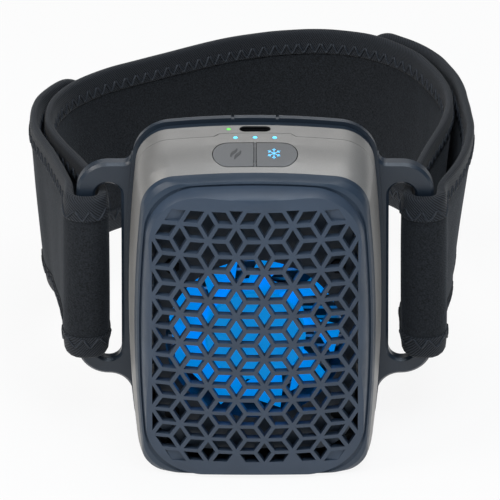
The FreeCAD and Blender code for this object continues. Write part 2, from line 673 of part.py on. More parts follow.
def make_fan_frame():
    half = FAN_SIDE / 2
    frame = box(-half, half, FAN_FRONT, FAN_BACK, FAN_Z - half, FAN_Z + half)
    frame = frame.makeFillet(FAN_CORNER, edges_along(frame, Vector(0, 1, 0)))
    frame = frame.cut(rod(FAN_BORE, FAN_FRONT - SAFE, FAN_BACK + SAFE, 0, FAN_Z))
    base_front = FAN_BACK - FAN_BASE
    frame = frame.fuse(rod(BASE_DIAMETER, base_front, FAN_BACK, 0, FAN_Z))
    for index in range(SPIDER_ARMS):
        arm = box(BASE_DIAMETER / 2 - SAFE, FAN_BORE / 2 + SAFE, base_front, FAN_BACK,
                  FAN_Z - ARM_WIDTH / 2, FAN_Z + ARM_WIDTH / 2)
        arm.rotate(Vector(0, 0, FAN_Z), Vector(0, 1, 0), 360 * (index + 0.5) / SPIDER_ARMS)
        frame = frame.fuse(arm)
    frame = frame.cut(rod(BEARING_DIAMETER, base_front - SAFE, FAN_BACK + SAFE, 0, FAN_Z))
    holes = [peg(SMALL_SCREW_DIAMETER + SCREW_FIT, FAN_FRONT - SAFE, FAN_BACK + SAFE, x, z)
             for x, z in fan_screw_places()]
    return frame.cut(group(holes))


def blade_section(radius, pitch, lead):
    """Corners of a thin bent section of a blade, tangent to the cylinder of a radius."""
    angle = radians(pitch)
    half_chord = BLADE_SPAN / sin(angle) / 2
    tail = Vector(half_chord * cos(angle), half_chord * sin(angle), 0)
    crest = Vector(-sin(angle), cos(angle), 0) * (BLADE_CAMBER * 2 * half_chord)
    thick = Vector(-sin(angle), cos(angle), 0) * (BLADE_THICKNESS / 2)
    corners = [crest + thick, tail, crest - thick, tail * -1]
    middle = Vector(0, FAN_FRONT + ROTOR_GAP + BLADE_SPAN / 2 + BLADE_THICKNESS, 0)
    turn = radians(lead)
    outward = Vector(sin(turn), 0, cos(turn))
    sideways = Vector(cos(turn), 0, -sin(turn))
    hub = Vector(0, 0, FAN_Z)
    start = hub + middle + outward * radius
    return [start + sideways * corner.x + Vector(0, corner.y, 0) for corner in corners]


def faceted(sections):
    """Solid through sections with the same number of corners, with flat triangles between them."""
    faces = [sections[0][::-1], sections[-1]]
    for before, after in zip(sections, sections[1:]):
        for index, here in enumerate(before):
            following = (index + 1) % len(before)
            ahead, above, beyond = before[following], after[index], after[following]
            if (ahead - above).Length < (beyond - here).Length:
                faces += [[here, ahead, above], [ahead, beyond, above]]
            else:
                faces += [[here, ahead, beyond], [here, beyond, above]]
    shell = Part.makeShell([Part.Face(Part.makePolygon(corners + corners[:1])) for corners in faces])
    shell.sewShape()
    return Part.makeSolid(shell)


def make_impeller():
    hub_front = FAN_FRONT + ROTOR_GAP
    hub_back = hub_front + HUB_DEPTH
    hub = rod(HUB_DIAMETER, hub_front, hub_back, 0, FAN_Z)
    rim = [edge for edge in hub.Edges if edge.BoundBox.YMax < hub_front + SNUG]
    hub = hub.makeChamfer(HUB_WALL / 2, rim)
    hub = hub.cut(rod(HUB_DIAMETER - 2 * HUB_WALL, hub_front + HUB_WALL, hub_back + SAFE, 0, FAN_Z))
    hub = hub.cut(rod(SHAFT_DIAMETER, hub_front - SAFE, hub_back, 0, FAN_Z))
    tip = FAN_BORE / 2 - TIP_GAP
    root = HUB_DIAMETER / 2 - HUB_WALL
    half_tip = BLADE_SPAN / tan(radians(BLADE_PITCH_TIP)) / 2
    tip = sqrt(tip ** 2 - half_tip ** 2)
    blade = faceted([
        blade_section(root, BLADE_PITCH_ROOT, 0),
        blade_section((root + tip) / 2, (BLADE_PITCH_ROOT + BLADE_PITCH_TIP) / 2, BLADE_SWEEP / 2),
        blade_section(tip, BLADE_PITCH_TIP, BLADE_SWEEP),
    ])
    blade = blade.cut(rod(HUB_DIAMETER - HUB_WALL, FAN_FRONT, FAN_BACK, 0, FAN_Z))
    blades = []
    for index in range(BLADE_COUNT):
        turned = blade.copy()
        turned.rotate(Vector(0, 0, FAN_Z), Vector(0, 1, 0), 360 * index / BLADE_COUNT)
        blades.append(turned)
    return hub.fuse(blades)


def make_shaft():
    return rod(SHAFT_DIAMETER, FAN_FRONT + ROTOR_GAP, FAN_BACK - SNUG, 0, FAN_Z)


def make_magnet():
    outer = HUB_DIAMETER - 2 * HUB_WALL
    front = FAN_FRONT + ROTOR_GAP + HUB_WALL + SNUG
    back = FAN_FRONT + ROTOR_GAP + HUB_DEPTH - SNUG
    ring = rod(outer, front, back, 0, FAN_Z)
    return ring.cut(rod(outer - 2 * MAGNET_WALL, front - SAFE, back + SAFE, 0, FAN_Z))


def make_bearing():
    front = FAN_FRONT + ROTOR_GAP + HUB_WALL + ROTOR_GAP
    tube = rod(BEARING_DIAMETER, front, FAN_BACK, 0, FAN_Z)
    return tube.cut(rod(SHAFT_DIAMETER + 2 * SHAFT_FIT, front - SAFE, FAN_BACK + SAFE, 0, FAN_Z))


def make_stator():
    front = FAN_FRONT + ROTOR_GAP + HUB_WALL + 2 * ROTOR_GAP
    back = FAN_BACK - FAN_BASE
    core = rod(STATOR_DIAMETER, front, back, 0, FAN_Z)
    core = core.cut(rod(BEARING_DIAMETER, front - SAFE, back + SAFE, 0, FAN_Z))
    slots = []
    for index in range(SPIDER_ARMS):
        slot = box(BEARING_DIAMETER / 2 + ROTOR_GAP, STATOR_DIAMETER, front - SAFE, back + SAFE,
                   FAN_Z - ROTOR_GAP, FAN_Z + ROTOR_GAP)
        slot.rotate(Vector(0, 0, FAN_Z), Vector(0, 1, 0), 360 * index / SPIDER_ARMS)
        slots.append(slot)
    return core.cut(group(slots))


# ---------------------------------------------------------------- heat path
def make_heat_sink():
    low, high = FAN_Z - SINK_HEIGHT / 2, FAN_Z + SINK_HEIGHT / 2
    sink = box(-SINK_HALF_WIDTH, SINK_HALF_WIDTH, SINK_BASE_FRONT, SINK_BACK, low, high)
    first = FAN_Z - FIN_PITCH * (FIN_COUNT - 1) / 2
    fins = []
    for index in range(FIN_COUNT):
        z = first + index * FIN_PITCH
        fins.append(box(-FIN_HALF_WIDTH, FIN_HALF_WIDTH, FIN_FRONT, SINK_BASE_FRONT,
                        z - FIN_THICKNESS / 2, z + FIN_THICKNESS / 2))
    sink = sink.fuse(fins)
    fan_screw_end = FAN_FRONT - BAFFLE_THICKNESS + FAN_SCREW_LENGTH
    holes = [peg(SMALL_SCREW_DIAMETER + SCREW_FIT, FIN_FRONT - SAFE, fan_screw_end + SCREW_FIT, x, z)
             for x, z in fan_screw_places()]
    holes += [peg(SMALL_SCREW_DIAMETER + SCREW_FIT, FIN_FRONT, SINK_BACK + SAFE, x, z)
              for x, z in sink_screw_places()]
    return sink.cut(group(holes))


def sink_screw_places():
    return [(x * SINK_SCREW_X, FAN_Z + z * SINK_SCREW_RISE) for x in (-1, 1) for z in (-1, 1)]


def make_module():
    """Thermoelectric module: two ceramic faces with a grid of pellets between them."""
    half = MODULE_SIDE / 2
    hot = box(-half, half, MODULE_FRONT, MODULE_FRONT + CERAMIC, FAN_Z - half, FAN_Z + half)
    cold = box(-half, half, MODULE_BACK - CERAMIC, MODULE_BACK, FAN_Z - half, FAN_Z + half)
    pitch = (MODULE_SIDE - 2 * PELLET) / (PELLET_GRID - 1)
    pellets = []
    for column in range(PELLET_GRID):
        for row in range(PELLET_GRID):
            x = PELLET - half + column * pitch
            z = FAN_Z + PELLET - half + row * pitch
            pellets.append(box(x - PELLET / 2, x + PELLET / 2, MODULE_FRONT + CERAMIC, MODULE_BACK - CERAMIC,
                               z - PELLET / 2, z + PELLET / 2))
    return hot.fuse(pellets + [cold])


def make_thermal_pads():
    half = MODULE_SIDE / 2
    return group([box(-half, half, SINK_BACK, MODULE_FRONT, FAN_Z - half, FAN_Z + half),
                  box(-half, half, MODULE_BACK, PEDESTAL_FRONT, FAN_Z - half, FAN_Z + half)])


def plate_sizes(grow):
    corner = PLATE_CORNER + grow
    return (PLATE_HALF_WIDTH + grow, PLATE_BOTTOM - grow, PLATE_TOP + grow, corner, corner)


def make_contact_plate():
    plate = shield(FLANGE_FRONT, PLATE_BACK - PLATE_EDGE, *plate_sizes(0))
    stations = [(PLATE_BACK - PLATE_EDGE, plate_sizes(0)), (PLATE_BACK, plate_sizes(-PLATE_EDGE))]
    plate = plate.fuse(skin(stations))
    plate = plate.fuse(shield(FLANGE_FRONT, FLANGE_BACK, *plate_sizes(PLATE_FLANGE)))
    hollow = shield(FLANGE_FRONT - SAFE, PLATE_BACK - PLATE_FACE, *plate_sizes(-PLATE_EDGE))
    half = MODULE_SIDE / 2
    pedestal = box(-half, half, PEDESTAL_FRONT, PLATE_BACK - PLATE_FACE, FAN_Z - half, FAN_Z + half)
    plate = plate.cut(hollow).fuse(pedestal)
    for x, z in sink_screw_places():
        boss = peg(BOSS_DIAMETER, SINK_BACK, FLANGE_BACK, x, z)
        plate = plate.fuse(boss).cut(peg(SMALL_SCREW_DIAMETER, SINK_BACK - SAFE, FLANGE_BACK - GASKET, x, z))
    sensor = rod(SENSOR_DIAMETER + SNUG, PEDESTAL_FRONT - SAFE, PEDESTAL_FRONT + SNUG, 0, 0)
    sensor.translate(Vector(0, 0, sensor_z()))
    return plate.cut(sensor)


def sensor_z():
    """The temperature sensor lies in the middle between the pedestal and the plate's top."""
    return (FAN_Z + MODULE_SIDE / 2 + PLATE_TOP) / 2


def make_sensor():
    back = PLATE_BACK - PLATE_FACE
    return rod(SENSOR_DIAMETER, back - SENSOR_LENGTH, back, 0, sensor_z())


def make_gasket():
    ring = shield(FLANGE_BACK, TAIL_WALL_FRONT, *plate_sizes(PLATE_FLANGE))
    return ring.cut(shield(FLANGE_BACK - SAFE, TAIL_WALL_FRONT + SAFE, *plate_sizes(PLATE_GAP)))


def make_insulator():
    """Foam frame round the thermoelectric module."""
    edge = PLATE_EDGE + SNUG
    half = MODULE_SIDE / 2 + SNUG
    frame = shield(SINK_BACK + SNUG, PEDESTAL_FRONT, *plate_sizes(-edge))
    frame = frame.common(box(-HALF_WIDTH, HALF_WIDTH, SINK_BACK, PLATE_BACK, FAN_Z - SINK_HEIGHT / 2,
                             FAN_Z + SINK_HEIGHT / 2))
    frame = frame.cut(box(-half, half, SINK_BACK - SAFE, PLATE_BACK, FAN_Z - half, FAN_Z + half))
    bosses = [peg(BOSS_DIAMETER + 2 * SNUG, SINK_BACK, PLATE_BACK, x, z) for x, z in sink_screw_places()]
    return frame.cut(group(bosses))


# ---------------------------------------------------------------- power and board
def make_cell():
    start = Vector(-CELL_LENGTH / 2, CELL_Y, CELL_Z)
    cell = Part.makeCylinder(CELL_DIAMETER / 2, CELL_LENGTH, start, Vector(1, 0, 0))
    cap = Part.makeCylinder(CELL_DIAMETER / 6, HOLDER_FIT, start + Vector(CELL_LENGTH, 0, 0), Vector(1, 0, 0))
    return cell.fuse(cap)


def make_cell_holder():
    """Saddle behind the cell that also carries the board."""
    half = CELL_LENGTH / 2 + 2 * HOLDER_FIT
    radius = CELL_DIAMETER / 2 + HOLDER_FIT
    back = CELL_Y + radius + HOLDER_WALL
    holder = box(-half, half, CELL_Y, back, CELL_Z - radius + HOLDER_WALL, BOARD_Z)
    start = Vector(-half - SAFE, CELL_Y, CELL_Z)
    bed = Part.makeCylinder(radius, 2 * (half + SAFE), start, Vector(1, 0, 0))
    holder = holder.cut(bed).common(case_cavity(TAIL_INSET + WALL + SNUG))
    for x, z in case_screw_places():
        holder = holder.cut(peg(SLEEVE_DIAMETER + 2 * SNUG, CELL_Y - SAFE, back + SAFE, x, z))
    return holder


def make_board():
    board = box(-BOARD_HALF_WIDTH, BOARD_HALF_WIDTH, BOARD_FRONT, BOARD_BACK, BOARD_Z, BOARD_TOP)
    board = board.makeFillet(BOARD_CORNER, edges_along(board, Vector(0, 0, 1)))
    chips = [box((side - 0.5) * CHIP, (side + 0.5) * CHIP, LIGHT_Y, LIGHT_Y + CHIP / 2,
                 BOARD_TOP, BOARD_TOP + LED_HEIGHT) for side in (-2, 2)]
    return board.fuse(chips)


def make_usb_socket():
    high = BODY_HEIGHT - USB_RECESS
    shell = slot_solid(USB_WIDTH, USB_HEIGHT, BOARD_TOP, high)
    hollow = slot_solid(USB_WIDTH - 2 * USB_SHELL, USB_HEIGHT - 2 * USB_SHELL, BOARD_TOP + SAFE, high + SAFE)
    blade = box(USB_X - USB_WIDTH / 3, USB_X + USB_WIDTH / 3, USB_Y - USB_TONGUE / 2, USB_Y + USB_TONGUE / 2,
                BOARD_TOP, high - USB_RECESS)
    return shell.cut(hollow).fuse(blade)


def light_pipe(x, y):
    """Clear pin from just over its lamp to the outside of the case."""
    low = BOARD_TOP + LED_HEIGHT + SNUG
    high = BODY_HEIGHT - bow_drop(TOP_CROWN, x)
    return Part.makeCylinder(LIGHT_DIAMETER / 2 - SNUG / 2, high - low, Vector(x, y, low))


def make_level_lights():
    return group([light_pipe(x, y) for x, y in level_light_places()])


def make_charge_light():
    return light_pipe(CHARGE_X, CHARGE_Y)


def make_lamps():
    half = LIGHT_DIAMETER / 2
    return group([box(x - half, x + half, y - half, y + half, BOARD_TOP, BOARD_TOP + LED_HEIGHT)
                  for x, y in level_light_places() + [(CHARGE_X, CHARGE_Y)]])


# ---------------------------------------------------------------- keys
def key_x(side):
    """Centre of a key: halfway from the split to its round end."""
    return side * KEY_LENGTH / 4


def stem_place(side):
    """Where the axis of a key's stem meets the level that the stem stops over, and how far that is."""
    drop = (KEY_CREST.z - SWITCH_STOP) / KEY_NORMAL.z
    return KEY_CREST - KEY_NORMAL * drop + Vector(key_x(side), 0, 0), drop


def key_half(side):
    """Half-space of one key, leaning with it."""
    split = KEY_SPLIT / 2
    reach = KEY_LENGTH
    block = Part.makeBox(reach, reach, 2 * reach, Vector(split, -reach / 2, -reach))
    return key_frame(block if side > 0 else mirror_x(block))


def make_key(side, outside):
    cap = key_pill(-KEY_GAP, -KEY_DEPTH, KEY_DEPTH).common(key_half(side)).common(outside)
    flange = key_pill(KEY_FLANGE_REACH, -KEY_DEPTH - KEY_FLANGE, -KEY_DEPTH).common(key_half(side))
    _, drop = stem_place(side)
    foot = Vector(key_x(side), 0, -drop - KEY_STEM)
    stem = Part.makeCylinder(KEY_STEM / 2, drop + KEY_STEM - KEY_DEPTH, foot)
    below = box(-KEY_LENGTH, KEY_LENGTH, -KEY_LENGTH, KEY_LENGTH, SWITCH_STOP - KEY_LENGTH, SWITCH_STOP)
    return cap.fuse([flange, key_frame(stem).cut(below)]).removeSplitter()


def make_switches():
    switches = []
    for side in (-1, 1):
        place, _ = stem_place(side)
        half = SWITCH_SIDE / 2
        height = SWITCH_HEIGHT / 2
        top = BOARD_TOP + height
        body = box(place.x - half, place.x + half, place.y - half, place.y + half, BOARD_TOP, top)
        button = Part.makeCylinder(KEY_STEM / 2, SWITCH_HEIGHT - height, Vector(place.x, place.y, top))
        switches.append(body.fuse(button))
    return group(switches)


# ---------------------------------------------------------------- cradle
def arc(start, middle, end):
    return Part.Arc(start, middle, end).toShape()


def line(start, end):
    return Part.LineSegment(start, end).toShape()


def ear_plate():
    """Left ear with its strap slot, as one flat plate that runs into the cradle's side."""
    y = EAR_FRONT
    top_root = EAR_TOP + EAR_TOP_BLEND
    foot_root = EAR_BOTTOM - EAR_FOOT_BLEND
    inside = HALF_WIDTH - TAIL_INSET - CRADLE_LIP / 2
    top_x, foot_x = -side_x(top_root), -side_x(foot_root)
    bend = 1 - sqrt(0.5)
    turn = EAR_CORNER * bend
    outer = -EAR_REACH
    corner_x = outer + EAR_CORNER
    high, low = EAR_TOP - EAR_CORNER, EAR_BOTTOM + EAR_CORNER
    root_top, blend_top = Vector(top_x, y, top_root), Vector(top_x - EAR_TOP_BLEND, y, EAR_TOP)
    root_foot, blend_foot = Vector(foot_x, y, foot_root), Vector(foot_x - EAR_FOOT_BLEND, y, EAR_BOTTOM)
    mid_top = Vector(top_x - EAR_TOP_BLEND * bend, y, EAR_TOP + EAR_TOP_BLEND * bend)
    mid_foot = Vector(foot_x - EAR_FOOT_BLEND * bend, y, EAR_BOTTOM - EAR_FOOT_BLEND * bend)
    edges = [
        line(Vector(-inside, y, top_root), root_top),
        arc(root_top, mid_top, blend_top),
        line(blend_top, Vector(corner_x, y, EAR_TOP)),
        arc(Vector(corner_x, y, EAR_TOP), Vector(outer + turn, y, EAR_TOP - turn), Vector(outer, y, high)),
        line(Vector(outer, y, high), Vector(outer, y, low)),
        arc(Vector(outer, y, low), Vector(outer + turn, y, EAR_BOTTOM + turn),
            Vector(corner_x, y, EAR_BOTTOM)),
        line(Vector(corner_x, y, EAR_BOTTOM), blend_foot),
        arc(blend_foot, mid_foot, root_foot),
        line(root_foot, Vector(-inside, y, foot_root)),
        line(Vector(-inside, y, foot_root), Vector(-inside, y, top_root)),
    ]
    plate = prism(Part.Wire(edges), EAR_FRONT, CRADLE_BACK)
    slot = box(-SLOT_OUTER, -SLOT_INNER, EAR_FRONT - SAFE, CRADLE_BACK + SAFE, SLOT_BOTTOM, SLOT_TOP)
    round_end = (SLOT_OUTER - SLOT_INNER) / 2 - SNUG
    slot = slot.makeFillet(round_end, edges_along(slot, Vector(0, 1, 0)))
    plate = plate.cut(slot)
    free = [edge for edge in plate.Edges if edge.BoundBox.YMax < EAR_FRONT + SNUG
            and edge.CenterOfMass.x < foot_x - SNUG]
    return plate.makeChamfer(EAR_CHAMFER, free)


def cradle_sizes(inset):
    """Outline of the cradle, inset from the case's, with its foot level with the case's."""
    half, _, top, corner, foot_corner = case_sizes(0, inset)
    return half, 0, top, corner, foot_corner


def make_cradle():
    """Sleeve round the tail: a neck, a rim that stands up, and a back that rolls down to the ears."""
    neck = shield(CRADLE_FRONT, RIM_FRONT, *cradle_sizes(CRADLE_NECK))
    back = skin([(RIM_FRONT, cradle_sizes(-CRADLE_PROUD)), (RIM_BACK, cradle_sizes(-CRADLE_PROUD)),
                 (CRADLE_BEND, cradle_sizes(CRADLE_BEND_INSET)),
                 (CRADLE_BACK, cradle_sizes(CRADLE_BACK_INSET))])
    ring = neck.fuse([back, ear_plate(), mirror_x(ear_plate())])
    lip_front = CRADLE_BACK - CRADLE_LIP_THICKNESS
    bed = shield(CRADLE_FRONT - SAFE, lip_front, *case_sizes(0, TAIL_INSET - CRADLE_FIT))
    mouth = shield(CRADLE_FRONT - SAFE, CRADLE_BACK + SAFE, *case_sizes(0, TAIL_INSET + CRADLE_LIP))
    slits = [box(x - TAB_SLIT / 2, x + TAB_SLIT / 2, CRADLE_FRONT - SAFE, lip_front,
                 BODY_HEIGHT - 2 * TAIL_INSET, BODY_HEIGHT + 2 * CRADLE_PROUD)
             for x in (-TAB_HALF_WIDTH, TAB_HALF_WIDTH)]
    return ring.cut(bed).cut(mouth).cut(group(slits))


# ---------------------------------------------------------------- strap
def left_of(direction):
    return Vector(-direction.y, direction.x, 0)


def lapped(points, distance):
    """Corner points of the same route moved to its outside (its left, seen from above)."""
    moved = []
    for before, here, after in zip(points, points[1:], points[2:]):
        a = (Vector(*here) - Vector(*before)).normalize()
        b = (Vector(*after) - Vector(*here)).normalize()
        middle = (left_of(a) + left_of(b)).normalize()
        place = Vector(*here) + middle * (distance / middle.dot(left_of(a)))
        moved.append((place.x, place.y))
    return moved


def loop_place(share_x, share_y):
    """Place on the loop from its shares of the loop's half-width and depth."""
    return share_x * LOOP_HALF_WIDTH, share_y * LOOP_DEPTH


def strap_route():
    """Corner points of the strap's middle line seen from above, from its left end to its right end.

    Each end lies outside the loop, turns round the bar of its ear and goes in through the slot.
    """
    lie = STRAP_THICKNESS / 2 + BINDING_PROUD + STRAP_CLEARANCE
    inner = SLOT_OUTER - lie
    outer = EAR_REACH + lie
    front = EAR_FRONT - lie
    behind = CRADLE_BACK + lie
    loop = [(-inner, behind)] + [loop_place(*share) for share in LOOP_SHAPE] + [(inner, behind)]
    lap = STRAP_THICKNESS + 2 * BINDING_PROUD + HOOK_PAD_THICKNESS + STRAP_CLEARANCE
    outside = [Vector(x, y, 0) for x, y in lapped(loop, lap)]
    left_over = outside[1:LEFT_LAPPED + 1][::-1]
    left_stop = left_over[0] + (outside[LEFT_LAPPED + 1] - left_over[0]) * LEFT_LAP
    last = len(LOOP_SHAPE) - RIGHT_LAPPED + 1
    right_over = outside[last - RIGHT_LAPPED + 1:last + 1][::-1]
    right_stop = right_over[-1] + (outside[last - RIGHT_LAPPED] - right_over[-1]) * RIGHT_LAP
    left_end = [(point.x, point.y) for point in [left_stop] + left_over]
    right_end = [(point.x, point.y) for point in right_over + [right_stop]]
    left_end += [loop_place(*share) for share in LEFT_END_SHAPE] + [(-outer, behind)]
    right_start = [(outer, behind)] + [loop_place(*share) for share in RIGHT_END_SHAPE]
    left_turn = [(-outer, front), (-inner, front)]
    right_turn = [(inner, front), (outer, front)]
    return left_end + left_turn + loop + right_turn + right_start + right_end


def tapered(point):
    """Move a point of the strap inwards, the more the lower it is, but not at the ears."""
    share = min(max((point.y - TAPER_START) / (TAPER_FULL - TAPER_START), 0), 1)
    fall = (STRAP_TOP - point.z) / (STRAP_TOP - STRAP_BOTTOM)
    return Vector(point.x * (1 - LOOP_TAPER * share * fall), point.y, point.z)


def side_points(points, shift, z):
    """Runs joined by rounded turns, moved to the left of the route by a shift."""
    corners = [Vector(x, y, z) for x, y in points]
    runs = [after - before for before, after in zip(corners, corners[1:])]
    along = [Vector(run).normalize() for run in runs]
    points_out = [corners[0] + left_of(along[0]) * shift]
    for index in range(1, len(corners) - 1):
        a, b = along[index - 1], along[index]
        turn = a.getAngle(b)
        way = 1 if a.cross(b).z > 0 else -1
        reach = TURN_SHARE * min(runs[index - 1].Length, runs[index].Length)
        if turn > TIGHT_TURN:
            reach = BAR_BEND * tan(turn / 2)
        radius = reach / tan(turn / 2)
        centre = corners[index] - a * reach + left_of(a) * (way * radius)
        arm = -way * (radius - way * shift)
        chords = ceil(turn / CHORD_TURN)
        for chord in range(chords + 1):
            swing = way * turn * chord / chords
            side = left_of(a) * cos(swing) - a * sin(swing)
            points_out.append(centre + side * arm)
    return points_out + [corners[-1] + left_of(along[-1]) * shift]


def ribbon(points, thickness, z0, z1, shift=0.0, part=slice(None)):
    """Band that stands on edge along a route, or along a part of its corners."""
    sections = []
    for z in (z0, z1):
        left = side_points(points, shift + thickness / 2, z)[part]
        right = side_points(points, shift - thickness / 2, z)[part]
        sections.append([tapered(point) for point in right + left[::-1]])
    return faceted(sections)


def strap_parts():
    """The neoprene band and the woven bindings over its two edges."""
    route = strap_route()
    binding = STRAP_THICKNESS + 2 * BINDING_PROUD
    low, high = STRAP_BOTTOM + BINDING_WIDTH, STRAP_TOP - BINDING_WIDTH
    shift = (STRAP_THICKNESS + HOOK_PAD_THICKNESS) / 2
    ends = {"hook_pad_left": slice(HOOK_PAD_CORNERS), "hook_pad_right": slice(-HOOK_PAD_CORNERS, None)}
    parts = {name: ribbon(route, HOOK_PAD_THICKNESS, low, high, shift, end) for name, end in ends.items()}
    parts["strap_band"] = ribbon(route, STRAP_THICKNESS, low, high)
    parts["strap_binding_lower"] = ribbon(route, binding, STRAP_BOTTOM, low)
    parts["strap_binding_upper"] = ribbon(route, binding, high, STRAP_TOP)
    return parts


# ---------------------------------------------------------------- screws
def make_case_screws():
    back = TAIL_BACK - SNUG
    diameter = CASE_SCREW_DIAMETER - SNUG
    return group([screw(diameter, CASE_SCREW_LENGTH, HEAD_HEIGHT, back, x, z, -1, SEAT_SIDES)
                  for x, z in case_screw_places()])


def make_fan_screws():
    front = FAN_FRONT - BAFFLE_THICKNESS - FAN_HEAD_HEIGHT
    length = FAN_SCREW_LENGTH + FAN_HEAD_HEIGHT
    return group([screw(SMALL_SCREW_DIAMETER, length, FAN_HEAD_HEIGHT, front, x, z, 1)
                  for x, z in fan_screw_places()])


def make_sink_screws():
    front = SINK_BASE_FRONT - HEAD_HEIGHT
    length = SINK_SCREW_LENGTH + HEAD_HEIGHT
    return group([screw(SMALL_SCREW_DIAMETER - SNUG, length, HEAD_HEIGHT, front, x, z, 1)
                  for x, z in sink_screw_places()])


def main():
    os.makedirs("parts", exist_ok=True)
    outside = case_outside()
    blank = outside.cut(case_cavity(WALL))
    nodes = {
        "front_shell": make_front_shell(outside, blank),
        "rear_shell": make_rear_shell(blank),
        "front_bezel": make_bezel(),
        "front_grille": make_grille(),
        "fan_baffle": make_baffle(),
        "fan_frame": make_fan_frame(),
        "fan_impeller": make_impeller(),
        "fan_shaft": make_shaft(),
        "fan_magnet": make_magnet(),
        "fan_bearing": make_bearing(),
        "fan_stator": make_stator(),
        "heat_sink": make_heat_sink(),
        "thermoelectric_module": make_module(),
        "thermal_pads": make_thermal_pads(),
        "contact_plate": make_contact_plate(),
        "plate_gasket": make_gasket(),
        "temperature_sensor": make_sensor(),
        "foam_insulator": make_insulator(),
        "battery_cell": make_cell(),
        "battery_holder": make_cell_holder(),
        "main_board": make_board(),
        "charging_socket": make_usb_socket(),
        "level_light_pipes": make_level_lights(),
        "charge_light_pipe": make_charge_light(),
        "lamps": make_lamps(),
        "heat_key": make_key(-1, outside),
        "cold_key": make_key(1, outside),
        "key_switches": make_switches(),
        "strap_cradle": make_cradle(),
        "case_screws": make_case_screws(),
        "fan_screws": make_fan_screws(),
        "heat_sink_screws": make_sink_screws(),
    }
    nodes.update(strap_parts())
    for name, shape in nodes.items():
        save(name, shape)


main()
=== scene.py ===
"""Looks of a temperature unit on its limb strap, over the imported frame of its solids."""
from math import ceil, cos, pi, radians, sin, sqrt

import bmesh
import bpy
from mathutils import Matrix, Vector, noise


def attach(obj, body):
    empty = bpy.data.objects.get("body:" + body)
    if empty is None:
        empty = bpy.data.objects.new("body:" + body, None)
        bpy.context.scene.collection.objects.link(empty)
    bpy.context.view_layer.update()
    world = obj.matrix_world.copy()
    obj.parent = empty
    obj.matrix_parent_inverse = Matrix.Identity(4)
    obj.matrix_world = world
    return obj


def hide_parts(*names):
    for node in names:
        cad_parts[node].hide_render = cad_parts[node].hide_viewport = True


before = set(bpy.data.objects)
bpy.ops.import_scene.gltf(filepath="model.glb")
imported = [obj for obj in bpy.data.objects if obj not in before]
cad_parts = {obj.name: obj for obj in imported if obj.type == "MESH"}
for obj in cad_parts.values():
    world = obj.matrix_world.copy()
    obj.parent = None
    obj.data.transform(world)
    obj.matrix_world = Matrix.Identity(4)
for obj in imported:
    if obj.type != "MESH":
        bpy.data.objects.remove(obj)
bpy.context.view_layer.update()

MM = 0.001

# ---------------------------------------------------------------- camera
PICTURE_SIDE = 148.24 * MM      # what the picture's side covers at the object
ELEVATION = radians(28.4)
AIM = Vector((-1.5, 0, 66.4)) * MM
LENS = 1500.0                   # long, so that the view has hardly any perspective
SENSOR = 36.0


def make_camera():
    """Camera that looks down on the front at the viewing angle."""
    data = bpy.data.cameras.new("camera")
    data.lens = LENS
    data.sensor_width = SENSOR
    camera = bpy.data.objects.new("camera", data)
    bpy.context.scene.collection.objects.link(camera)
    back = Vector((0, -cos(ELEVATION), sin(ELEVATION)))
    distance = PICTURE_SIDE * LENS / SENSOR
    camera.location = AIM + back * distance
    camera.rotation_mode = "QUATERNION"
    camera.rotation_quaternion = (-back).to_track_quat("-Z", "Y")
    data.clip_start = distance / 10
    data.clip_end = distance * 3
    bpy.context.scene.camera = camera


# ---------------------------------------------------------------- materials
NOISE_LOW, NOISE_HIGH = 0.3, 0.7    # between these lie most of the values of a noise
TONE_SPREAD = 0.1                   # how far moulded plastic strays from its colour, as a share
GLOSS_SPREAD = 0.12                 # and from its roughness


